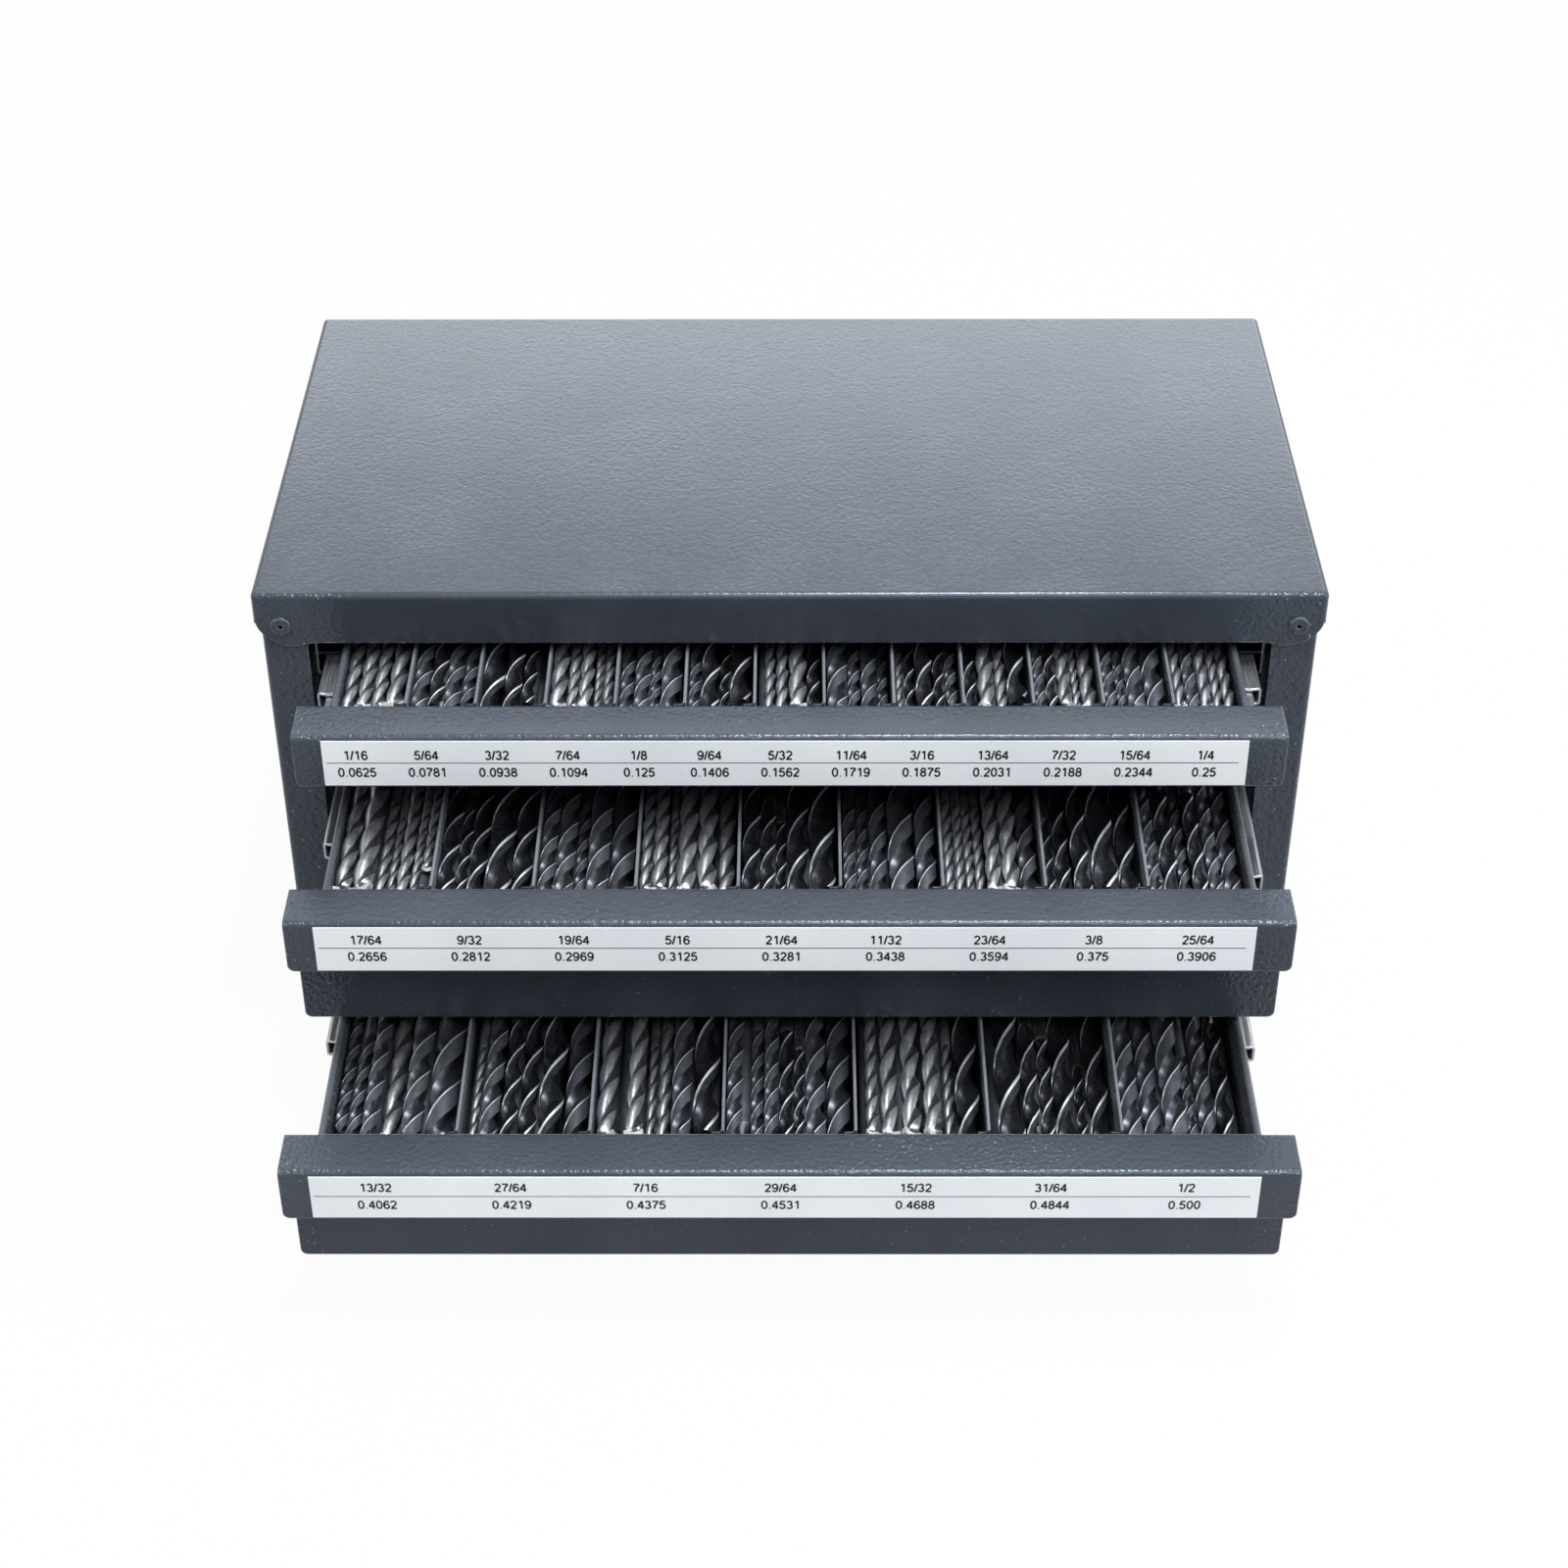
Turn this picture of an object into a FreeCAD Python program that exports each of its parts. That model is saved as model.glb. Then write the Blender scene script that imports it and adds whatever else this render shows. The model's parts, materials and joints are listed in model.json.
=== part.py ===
"""Drill bit drawer case: a folded steel case with three drawers on telescoping slides.

Millimetres, +Z up, +X to the right, the drawers open towards -Y. The origin is the middle of the
underside of the base, on the surface that the case stands on.
"""
import FreeCAD, Part

import math
import os

Vector = FreeCAD.Vector
ACROSS = Vector(1, 0, 0)
BACK = Vector(0, 1, 0)
UP = Vector(0, 0, 1)

# ---- Driving dimensions ----------------------------------------------------------------------

# Case
COVER_WIDTH = 380.0
COVER_DEPTH = 205.0
CASE_SHEET = 1.2
COVER_BEND = 0.8            # inside radius of the folds
COVER_FRONT_FLANGE = 20.6
COVER_SIDE_FLANGE = 13.0
COVER_SIDE_GAP = 1.0        # cover to case side
COVER_END_GAP = 0.2         # cover to case front and back
COVER_TOP_GAP = 0.3
EAR_RADIUS = 13.8           # rounded lower corner of the front flange
EAR_DROP = 1.4              # how far that corner hangs below the flange's straight edge
EAR_BLEND = 10.0
FRONT_STRIP = 15.95         # folded-in strip each side of the opening
REAR_RETURN = 12.0
BASE_FLANGE = 11.8
BASE_STEP_RUN = 1.8         # the base steps up over the side panels' flanges in this width
BASE_STEP_GAP = 1.0
BASE_STEP_BEND = 0.4
RAIL_HEIGHT = 13.5
BASE_REAR_FLANGE = 10.0

# Drawers, from the top one down
FACE_HEIGHTS = (35.0, 58.0, 57.5)
FACE_GAPS = (5.5, 2.5)               # one face's lower edge down to the next one's top
COMPARTMENTS = (13, 9, 7)
SLIDE_DROPS = (6.7, 16.5, 16.5)      # top of a face down to the top of its slide's middle section
OPEN_SHARES = (0.2133, 0.5230, 0.8703)          # how far each drawer stands open, of its travel
MIDDLE_RATIOS = ((0.573, 0.497), (0.488, 0.702), (0.557, 0.579))     # left and right, of the drawer
COVER_FACE_GAP = 3.4
FACE_RAIL_GAP = 2.0
FACE_SIDE_GAP = 0.85
FACE_SHEET = 1.2
FACE_BEND = 0.8
FACE_CORNER = 2.5
LIP_DEPTH = 19.5
LIP_HEIGHT = 21.2
TRAY_SHEET = 1.0
TRAY_BEND = 0.8
TRAY_FLOOR_RISE = 1.0       # face's lower edge up to the tray's underside
TRAY_REAR_GAP = 5.8
HEM_HEIGHT = 5.0
HEM_GAP = 0.2
HEM_DROP = 1.2              # face's top down to the tray's hem
DIVIDER_SHEET = 1.0
DIVIDER_TAB = 4.0
DIVIDER_BEND = 1.2
LABEL_WIDTH = 318.4
LABEL_SHIFT = -1.6          # the label sits a little left of the middle
LABEL_THICKNESS = 0.25
LABEL_TOP_MARGIN = 1.7
LABEL_LOWER_MARGIN = 0.6

# Slides
SLIDE_SPACE = 11.85         # edge of the opening to the tray's hem
POST_INSET = 1.25           # how far the posts stand inside the edge of the opening
POST_WIDTH = 20.0
POST_FOOT = 8.0
POST_TOP_GAP = 2.5
FRONT_POST_SETBACK = 12.0
CHANNEL_SHEET = 1.0
CHANNEL_SETBACK = 6.0
CHANNEL_REAR_GAP = 13.8
CHANNEL_UPSTAND = 8.0
CHANNEL_INNER_GAP = 1.2     # hem to the fixed channel's edges
MIDDLE_SHEET = 0.9
MIDDLE_BEND = 0.3
MIDDLE_HEIGHT = 7.2
MIDDLE_SIDE_GAP = 2.6       # middle section to the fixed channel's wall
MIDDLE_INNER_GAP = 0.6      # hem to the middle section's edges
MIDDLE_DISH = 0.45
MIDDLE_FACE_GAP = 1.0
RAIL_SHEET = 0.9
RAIL_TOP_GAP = 0.45         # rail to the dish in the middle section
RAIL_SIDE_GAP = 2.2         # rail's edge to the middle section's wall
RAIL_FACE_GAP = 1.3
RAIL_REAR_SETBACK = 12.0
RUNNING_GAP = 0.3
HELD_LENGTH = 29.0          # length of tray that stays in the case when the drawer is fully open
MIDDLE_SHORTER = 15.0       # middle section against the drawer's rail

# Stops
STOP_TAB_DROP = 4.5
STOP_STUD_RADIUS = 1.6
STOP_STUD_CATCH = 2.0       # how much of a stud's length meets the stop tab
STOP_GAP = 0.4
CRIMP_REACH = 1.7
CRIMP_LENGTH = 2.0
CRIMP_HEIGHT = 2.4
CRIMP_SPARE = 2.0           # travel left over before a middle section meets its own crimp

# Rivets
RIVET_HEAD_RADIUS = 3.75
RIVET_HEAD_HEIGHT = 0.9
RIVET_RADIUS = 1.6
RIVET_BORE_RADIUS = 0.9
RIVET_BORE_DEPTH = 1.8
RIVET_FIT = 0.1
RIVET_TAIL_RADIUS = 2.6
RIVET_TAIL_HEIGHT = 1.6
RIVET_FROM_SIDE = 9.6       # in from the cover's side
FRONT_RIVET_DROP = 13.4     # down from the cover's top
REAR_RIVET_DROP = 6.6
BACK_RIVET_ENDS = 28.0
BACK_RIVET_COUNT = 3
SLIDE_RIVET_HEAD_RADIUS = 2.2
SLIDE_RIVET_HEAD_HEIGHT = 0.8
SLIDE_RIVET_RADIUS = 1.2
SLIDE_RIVET_TAIL_HEIGHT = 1.2

# ---- Places worked out from them -------------------------------------------------------------

case_height = (
    RAIL_HEIGHT + FACE_RAIL_GAP + sum(FACE_HEIGHTS) + sum(FACE_GAPS) + COVER_FACE_GAP
    + COVER_FRONT_FLANGE
)
cover_half = COVER_WIDTH / 2
side_x = cover_half - CASE_SHEET - COVER_SIDE_GAP           # outside of a side panel
side_inner_x = side_x - CASE_SHEET
opening_x = side_x - FRONT_STRIP
front_y = -COVER_DEPTH / 2 + CASE_SHEET + COVER_END_GAP     # outside of the front strips
rear_y = -front_y
side_top_z = case_height - CASE_SHEET - COVER_TOP_GAP

face_half = opening_x - FACE_SIDE_GAP
hem_x = opening_x - SLIDE_SPACE                             # outside of the tray's hem
tray_wall_x = hem_x - TRAY_SHEET - HEM_GAP                  # outside of the tray's wall
tray_inner_x = tray_wall_x - TRAY_SHEET
tray_front_y = front_y + FACE_SHEET
back_panel_y = rear_y - 2 * CASE_SHEET                      # inside of the back panel
tray_rear_y = back_panel_y - TRAY_REAR_GAP
travel = tray_rear_y - front_y - HELD_LENGTH

post_x = opening_x - POST_INSET
channel_inner_x = hem_x + CHANNEL_INNER_GAP
channel_wall_x = post_x - CHANNEL_SHEET
middle_outer_x = channel_wall_x - MIDDLE_SIDE_GAP
middle_inner_x = hem_x + MIDDLE_INNER_GAP
middle_front_y = front_y + FACE_SHEET + MIDDLE_FACE_GAP
rail_edge_x = middle_outer_x - MIDDLE_SHEET - RAIL_SIDE_GAP
rail_height = MIDDLE_HEIGHT - 2 * MIDDLE_SHEET - MIDDLE_DISH - RUNNING_GAP - RAIL_TOP_GAP
rail_front_y = front_y + FACE_SHEET + RAIL_FACE_GAP
rail_rear_y = tray_rear_y - RAIL_REAR_SETBACK
middle_rear_y = rail_rear_y - MIDDLE_SHORTER
channel_front_y = front_y + CHANNEL_SETBACK
channel_rear_y = back_panel_y - CHANNEL_REAR_GAP
front_post_y = front_y + FRONT_POST_SETBACK + POST_WIDTH / 2
rear_post_y = channel_rear_y - POST_WIDTH / 2 - CHANNEL_SETBACK


def drawer_places():
    """Top and bottom height, slide height and rest opening of each drawer, from the top one down."""
    places = []
    top = case_height - COVER_FRONT_FLANGE - COVER_FACE_GAP
    for height, gap, count, drop, share, ratios in zip(
            FACE_HEIGHTS, FACE_GAPS + (0.0,), COMPARTMENTS, SLIDE_DROPS, OPEN_SHARES, MIDDLE_RATIOS):
        places.append({
            "number": len(places) + 1,
            "top": top,
            "bottom": top - height,
            "count": count,
            "slide_top": top - drop,
            "opened": share * travel,
            "ratios": {"left": ratios[0], "right": ratios[1]},
        })
        top -= height + gap
    return places


# ---- Shapes ----------------------------------------------------------------------------------

def block(x_range, y_range, z_range):
    """Box between two x, two y and two z values."""
    low = Vector(x_range[0], y_range[0], z_range[0])
    size = Vector(x_range[1], y_range[1], z_range[1]) - low
    return Part.makeBox(size.x, size.y, size.z, low)


def rod(centre, axis, radius, length):
    """Round bar that starts at a point and runs along an axis."""
    return Part.makeCylinder(radius, length, centre, axis)


def mirrored(shape):
    """The same piece for the other side of the case."""
    return shape.mirror(Vector(0, 0, 0), ACROSS)


def bent_sheet(points, sheet, bend, across, up, along, start, length):
    """Sheet of one thickness bent along a centre line and carried along one direction.

    The centre line is given as (u, v) points, u measured along `across` and v along `up`. Every
    corner turns on an arc whose inside radius is `bend`.
    """
    middle = [Vector(u, v, 0) for u, v in points]
    headings = [(b - a).normalize() for a, b in zip(middle, middle[1:])]
    normals = [Vector(-h.y, h.x, 0) for h in headings]
    turn_radius = bend + sheet / 2

    def placed(point):
        return across * point.x + up * point.y + along * start

    def side(offset):
        """Lines and arcs along one face of the sheet."""
        edges = []
        last = middle[0] + normals[0] * offset
        for i in range(1, len(middle) - 1):
            angle = headings[i - 1].getAngle(headings[i])
            way = 1 if headings[i - 1].cross(headings[i]).z > 0 else -1
            reach = turn_radius * math.tan(angle / 2)
            enter = middle[i] - headings[i - 1] * reach
            leave = middle[i] + headings[i] * reach
            centre = enter + normals[i - 1] * (way * turn_radius)
            radius = turn_radius - way * offset
            half_way = (normals[i - 1] + normals[i]).normalize()
            arc_start = enter + normals[i - 1] * offset
            arc_end = leave + normals[i] * offset
            arc_middle = centre - half_way * (way * radius)
            if (arc_start - last).Length > 1e-6:
                edges.append(Part.LineSegment(placed(last), placed(arc_start)).toShape())
            edges.append(Part.Arc(placed(arc_start), placed(arc_middle), placed(arc_end)).toShape())
            last = arc_end
        end = middle[-1] + normals[-1] * offset
        edges.append(Part.LineSegment(placed(last), placed(end)).toShape())
        return edges, end

    near, near_end = side(sheet / 2)
    far, far_end = side(-sheet / 2)
    caps = [
        Part.LineSegment(placed(near_end), placed(far_end)).toShape(),
        Part.LineSegment(placed(middle[0] + normals[0] * sheet / 2),
                         placed(middle[0] - normals[0] * sheet / 2)).toShape(),
    ]
    outline = Part.Wire(Part.__sortEdges__(near + far + caps))
    return Part.Face(outline).extrude(along * length)


def edges_along(shape, axis, test):
    """Straight edges of a shape that run along an axis and whose middle passes a test."""
    found = []
    for edge in shape.Edges:
        if not isinstance(edge.Curve, Part.Line):
            continue
        if abs(abs(edge.Curve.Direction.dot(axis)) - 1) > 1e-6:
            continue
        if test(edge.CenterOfMass):
            found.append(edge)
    return found


def near(value, target):
    return abs(value - target) < 0.01


def round_edges(shape, radius, axis, test):
    """Round the edges that run along an axis and pass the test."""
    return shape.makeFillet(radius, edges_along(shape, axis, test))


def rivet(point, axis, grip, head, tail, shank, bore):
    """Rivet with a low domed head at a point, its shank running `grip` along the axis.

    head and tail are (radius, height) pairs, and bore is the hole that a blind rivet's pulled
    mandrel leaves, or 0.
    """
    head_radius, head_height = head
    tail_radius, tail_height = tail
    dome = rod(point - axis * head_height, axis, head_radius, head_height)
    dome = dome.makeChamfer(head_height / 2, [
        edge for edge in dome.Edges
        if isinstance(edge.Curve, Part.Circle)
        and (edge.Curve.Center - point).dot(axis) < -head_height / 2
    ])
    body = rod(point, axis, shank, grip)
    bulb = rod(point + axis * grip, axis, tail_radius, tail_height)
    shape = dome.fuse([body, bulb]).removeSplitter()
    if bore:
        depth = head_height + RIVET_BORE_DEPTH
        shape = shape.cut(rod(point - axis * head_height, axis, bore, depth))
    return shape


def grouped(shapes):
    return Part.makeCompound(shapes)


# ---- Case ------------------------------------------------------------------------------------

def cover_rivet_points(drop):
    """Left and right (x, z) of the rivets that hold the cover, `drop` below its top."""
    x = cover_half - RIVET_FROM_SIDE
    return [(way * x, case_height - drop) for way in (-1, 1)]


def back_rivet_points():
    """(x, z) of the rivets that hold the back panel to the side panels' returns."""
    x = side_x - REAR_RETURN / 2
    low, high = BACK_RIVET_ENDS, case_height - BACK_RIVET_ENDS
    step = (high - low) / (BACK_RIVET_COUNT - 1)
    return [(way * x, low + i * step) for way in (-1, 1) for i in range(BACK_RIVET_COUNT)]


def rivet_holes(points, y_range):
    length = y_range[1] - y_range[0]
    return [rod(Vector(x, y_range[0], z), BACK, RIVET_RADIUS + RIVET_FIT, length) for x, z in points]


def below_front_flange():
    """What is trimmed from under the front flange: a straight edge between two rounded ears."""
    edge_z = case_height - COVER_FRONT_FLANGE
    low_z = edge_z - EAR_DROP - CASE_SHEET
    ear_z = edge_z - EAR_DROP + EAR_RADIUS
    ear_x = cover_half - EAR_RADIUS
    y = -COVER_DEPTH / 2 - CASE_SHEET
    run = math.sqrt((EAR_RADIUS + EAR_BLEND) ** 2 - (EAR_RADIUS - EAR_DROP + EAR_BLEND) ** 2)
    share = EAR_RADIUS / (EAR_RADIUS + EAR_BLEND)
    blend = Vector(ear_x - run, y, edge_z - EAR_BLEND)
    ear = Vector(ear_x, y, ear_z)
    meet = ear + (blend - ear) * share

    def on_circle(centre, radius, degrees):
        angle = math.radians(degrees)
        return centre + Vector(math.cos(angle), 0, math.sin(angle)) * radius

    slope = math.degrees(math.atan2(meet.z - ear_z, meet.x - ear_x))
    out = Vector(cover_half + CASE_SHEET, y, ear_z)
    edges = [
        Part.LineSegment(Vector(0, y, edge_z), Vector(blend.x, y, edge_z)),
        Part.Arc(Vector(blend.x, y, edge_z), on_circle(blend, EAR_BLEND, (90 + slope + 180) / 2), meet),
        Part.Arc(meet, on_circle(ear, EAR_RADIUS, slope / 2), on_circle(ear, EAR_RADIUS, 0)),
        Part.LineSegment(on_circle(ear, EAR_RADIUS, 0), out),
        Part.LineSegment(out, Vector(out.x, y, low_z)),
        Part.LineSegment(Vector(out.x, y, low_z), Vector(0, y, low_z)),
        Part.LineSegment(Vector(0, y, low_z), Vector(0, y, edge_z)),
    ]
    half = Part.Face(Part.Wire([edge.toShape() for edge in edges])).extrude(BACK * 2 * CASE_SHEET)
    return half.fuse(mirrored(half))


def top_cover():
    """Lid folded from one sheet: a deeper flange in front, shallow ones at the sides and back."""
    low_z = case_height - COVER_FRONT_FLANGE - EAR_DROP
    outer_bend = COVER_BEND + CASE_SHEET
    half_depth = COVER_DEPTH / 2
    shell = block((-cover_half, cover_half), (-half_depth, half_depth), (low_z, case_height))
    shell = round_edges(shell, outer_bend, UP, lambda middle: True)
    top_edges = [edge for edge in shell.Edges if near(edge.BoundBox.ZMin, case_height)]
    shell = shell.makeFillet(outer_bend, top_edges)
    inner_x, inner_y = cover_half - CASE_SHEET, half_depth - CASE_SHEET
    inside = block((-inner_x, inner_x), (-inner_y, inner_y), (low_z - 1, case_height - CASE_SHEET))
    inside = round_edges(inside, COVER_BEND, UP, lambda middle: True)
    ceiling = [edge for edge in inside.Edges if near(edge.BoundBox.ZMin, case_height - CASE_SHEET)]
    inside = inside.makeFillet(COVER_BEND, ceiling)
    side_trim = block(
        (-cover_half - 1, cover_half + 1), (-inner_y, half_depth + 1),
        (low_z - 1, case_height - COVER_SIDE_FLANGE))
    holes = rivet_holes(cover_rivet_points(FRONT_RIVET_DROP), (-half_depth - 1, -inner_y + 1))
    holes += rivet_holes(cover_rivet_points(REAR_RIVET_DROP), (inner_y - 1, half_depth + 1))
    return shell.cut(inside).cut(side_trim).cut(below_front_flange()).cut(holes)


def right_side_panel():
    """Side with its front strip, rear return and lower flange folded in from one sheet."""
    outer_bend = COVER_BEND + CASE_SHEET
    shell = block((opening_x, side_x), (front_y, rear_y), (0, side_top_z))
    shell = round_edges(shell, outer_bend, UP, lambda middle: near(middle.x, side_x))
    lower_edges = [
        edge for edge in shell.Edges
        if near(edge.BoundBox.ZMax, 0) and edge.BoundBox.XMax > side_x - outer_bend]
    shell = shell.makeFillet(outer_bend, lower_edges)
    inner_y = rear_y - CASE_SHEET
    inside = block((opening_x - 1, side_inner_x), (-inner_y, inner_y), (CASE_SHEET, side_top_z + 1))
    rear_trim = block(
        (opening_x - 1, side_x - REAR_RETURN), (inner_y - 1, rear_y + 1), (-1, side_top_z + 1))
    base_trim = block((opening_x - 1, side_x - BASE_FLANGE), (-inner_y, inner_y), (-1, CASE_SHEET + 1))
    rear_points = cover_rivet_points(REAR_RIVET_DROP) + back_rivet_points()
    holes = rivet_holes(cover_rivet_points(FRONT_RIVET_DROP), (front_y - 1, -inner_y + 1))
    holes += rivet_holes(rear_points, (inner_y - 1, rear_y + 1))
    return shell.cut(inside).cut(rear_trim).cut(base_trim).cut(holes)


def base_pan():
    """Floor that steps up over the side panels' flanges, with a front rail and a rear flange."""
    low, high = CASE_SHEET / 2, CASE_SHEET * 1.5
    step_high_x = side_x - BASE_FLANGE - BASE_STEP_GAP
    step_low_x = step_high_x - BASE_STEP_RUN
    edge_x = side_inner_x - COVER_END_GAP
    section = [(-edge_x, high), (-step_high_x, high), (-step_low_x, low)]
    section += [(-x, z) for x, z in reversed(section)]
    front, rear = front_y + CASE_SHEET, rear_y - CASE_SHEET
    floor_length = rear - front - CASE_SHEET
    floor = bent_sheet(section, CASE_SHEET, BASE_STEP_BEND, ACROSS, UP, BACK, front, floor_length)
    rail_low = block((-step_low_x, step_low_x), (front, front + CASE_SHEET), (0, RAIL_HEIGHT))
    rail_ends = block((-edge_x, edge_x), (front, front + CASE_SHEET), (CASE_SHEET, RAIL_HEIGHT))
    rear_x = side_x - REAR_RETURN - COVER_END_GAP
    rear_floor = block((-step_low_x, step_low_x), (rear - 2 * CASE_SHEET, rear_y), (0, CASE_SHEET))
    rear_flange = block((-rear_x, rear_x), (rear, rear_y), (CASE_SHEET, BASE_REAR_FLANGE))
    rear_edge = block((-step_low_x, step_low_x), (rear, rear_y), (0, BASE_REAR_FLANGE))
    return floor.fuse([rail_low, rail_ends, rear_floor, rear_flange, rear_edge]).removeSplitter()


def back_panel():
    """Flat sheet inside the side panels' rear returns."""
    x = side_inner_x - COVER_END_GAP
    low_z = 2 * CASE_SHEET + COVER_END_GAP
    high_z = side_top_z - COVER_TOP_GAP
    sheet = block((-x, x), (back_panel_y, back_panel_y + CASE_SHEET), (low_z, high_z))
    points = cover_rivet_points(REAR_RIVET_DROP) + back_rivet_points()
    return sheet.cut(rivet_holes(points, (back_panel_y - 1, rear_y)))


def cover_rivets(drop, front):
    """The pair of blind rivets that hold the cover at the front or at the back."""
    outside = COVER_DEPTH / 2
    y = -outside if front else outside
    axis = BACK if front else -BACK
    layers = 2 if front else 3
    grip = layers * CASE_SHEET + COVER_END_GAP
    return grouped([
        rivet(Vector(x, y, z), axis, grip, (RIVET_HEAD_RADIUS, RIVET_HEAD_HEIGHT),
              (RIVET_TAIL_RADIUS, RIVET_TAIL_HEIGHT), RIVET_RADIUS, RIVET_BORE_RADIUS)
        for x, z in cover_rivet_points(drop)])


def back_panel_rivets():
    return grouped([
        rivet(Vector(x, rear_y, z), -BACK, 2 * CASE_SHEET, (RIVET_HEAD_RADIUS, RIVET_HEAD_HEIGHT),
              (RIVET_TAIL_RADIUS, RIVET_TAIL_HEIGHT), RIVET_RADIUS, RIVET_BORE_RADIUS)
        for x, z in back_rivet_points()])


# ---- Slides, right-hand ones; the left-hand ones are mirrored -----------------------------------

def slide_rivet_z(drawer):
    return drawer["slide_top"] + RUNNING_GAP + CHANNEL_SHEET + CHANNEL_UPSTAND / 2


def slide_post(centre_y):
    """Upright hat-section post that carries the fixed channels on a side panel."""
    half = (POST_WIDTH - CASE_SHEET) / 2
    foot_x, face_x = side_inner_x - CASE_SHEET / 2, post_x + CASE_SHEET / 2
    section = [
        (foot_x, -half - POST_FOOT), (foot_x, -half), (face_x, -half),
        (face_x, half), (foot_x, half), (foot_x, half + POST_FOOT),
    ]
    section = [(u, v + centre_y) for u, v in section]
    low_z = 2 * CASE_SHEET
    post = bent_sheet(section, CASE_SHEET, COVER_BEND, ACROSS, BACK, UP, low_z,
                      side_top_z - POST_TOP_GAP - low_z)
    holes = [
        rod(Vector(post_x - 1, centre_y, slide_rivet_z(drawer)), ACROSS,
            SLIDE_RIVET_RADIUS + RIVET_FIT, CASE_SHEET + 2)
        for drawer in drawer_places()]
    return post.cut(holes)


def channel_rivets():
    """Rivets of all the right-hand fixed channels, two to a channel."""
    grip = CHANNEL_SHEET + CASE_SHEET
    return grouped([
        rivet(Vector(channel_wall_x, y, slide_rivet_z(drawer)), ACROSS, grip,
              (SLIDE_RIVET_HEAD_RADIUS, SLIDE_RIVET_HEAD_HEIGHT),
              (SLIDE_RIVET_HEAD_RADIUS, SLIDE_RIVET_TAIL_HEIGHT), SLIDE_RIVET_RADIUS, 0)
        for drawer in drawer_places() for y in (front_post_y, rear_post_y)])


def crimp(x_range, y, z):
    """Small stop pressed out of a slide's wall."""
    return block(x_range, (y, y + CRIMP_LENGTH), (z - CRIMP_HEIGHT / 2, z + CRIMP_HEIGHT / 2))


def fixed_channel(drawer):
    """Channel riveted to the posts, with a turned-down tab in front that stops the drawer."""
    top = drawer["slide_top"] + RUNNING_GAP + CHANNEL_SHEET
    bottom = drawer["slide_top"] - MIDDLE_HEIGHT - RUNNING_GAP - CHANNEL_SHEET
    half = CHANNEL_SHEET / 2
    wall = channel_wall_x + half
    length = channel_rear_y - channel_front_y
    angle = [(wall, top + CHANNEL_UPSTAND), (wall, bottom + half), (channel_inner_x, bottom + half)]
    channel = bent_sheet(angle, CHANNEL_SHEET, MIDDLE_BEND, ACROSS, UP, BACK, channel_front_y, length)
    roof = block((channel_inner_x, channel_wall_x), (channel_front_y, channel_rear_y),
                 (top - CHANNEL_SHEET, top))
    tab = block((channel_inner_x, middle_outer_x), (channel_front_y, channel_front_y + CHANNEL_SHEET),
                (bottom - STOP_TAB_DROP, bottom + half))
    most = max(max(pair) for pair in MIDDLE_RATIOS) * travel
    crimp_y = middle_rear_y - CRIMP_LENGTH - most - CRIMP_SPARE - CRIMP_LENGTH
    stop = crimp((channel_wall_x - CRIMP_REACH, channel_wall_x), crimp_y, (top + bottom) / 2)
    channel = channel.fuse([roof, tab, stop]).removeSplitter()
    holes = [
        rod(Vector(channel_wall_x - 1, y, slide_rivet_z(drawer)), ACROSS,
            SLIDE_RIVET_RADIUS + RIVET_FIT, CHANNEL_SHEET + 2)
        for y in (front_post_y, rear_post_y)]
    return channel.cut(holes)


def middle_section(drawer):
    """Running channel between the fixed one and the drawer's rail, its top dished along its length."""
    half = MIDDLE_SHEET / 2
    top = drawer["slide_top"] - half
    bottom = drawer["slide_top"] - MIDDLE_HEIGHT + half
    wall = middle_outer_x - half
    mouth = middle_inner_x
    dish = ((mouth + wall) / 2, top - MIDDLE_DISH)
    section = [(mouth, top), dish, (wall, top), (wall, bottom), (mouth, bottom)]
    length = middle_rear_y - middle_front_y
    channel = bent_sheet(section, MIDDLE_SHEET, MIDDLE_BEND, ACROSS, UP, BACK, middle_front_y, length)
    centre_z = (top + bottom) / 2
    ear = crimp((middle_outer_x, middle_outer_x + CRIMP_REACH), middle_rear_y - CRIMP_LENGTH, centre_z)
    most = (1 - min(min(pair) for pair in MIDDLE_RATIOS)) * travel
    stop_y = rail_rear_y - CRIMP_LENGTH - most - CRIMP_SPARE - CRIMP_LENGTH
    inner_x = middle_outer_x - MIDDLE_SHEET
    stop = crimp((inner_x - CRIMP_REACH, inner_x), stop_y, centre_z)
    return channel.fuse([ear, stop]).removeSplitter()


def drawer_rail(drawer):
    """Narrow channel welded to the tray's wall that runs inside the middle section."""
    half = RAIL_SHEET / 2
    low = drawer["slide_top"] - MIDDLE_HEIGHT + MIDDLE_SHEET + RUNNING_GAP
    high = low + rail_height
    web = tray_wall_x + half
    section = [
        (rail_edge_x, high - half), (web, high - half), (web, low + half), (rail_edge_x, low + half)]
    rail = bent_sheet(section, RAIL_SHEET, MIDDLE_BEND, ACROSS, UP, BACK, rail_front_y,
                      rail_rear_y - rail_front_y)
    end_plate = block((web, rail_edge_x), (rail_rear_y - CRIMP_LENGTH, rail_rear_y), (low, high))
    ear = crimp((rail_edge_x, rail_edge_x + CRIMP_REACH / 2), rail_rear_y - CRIMP_LENGTH,
                (low + high) / 2)
    return rail.fuse([end_plate, ear]).removeSplitter()


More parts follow.
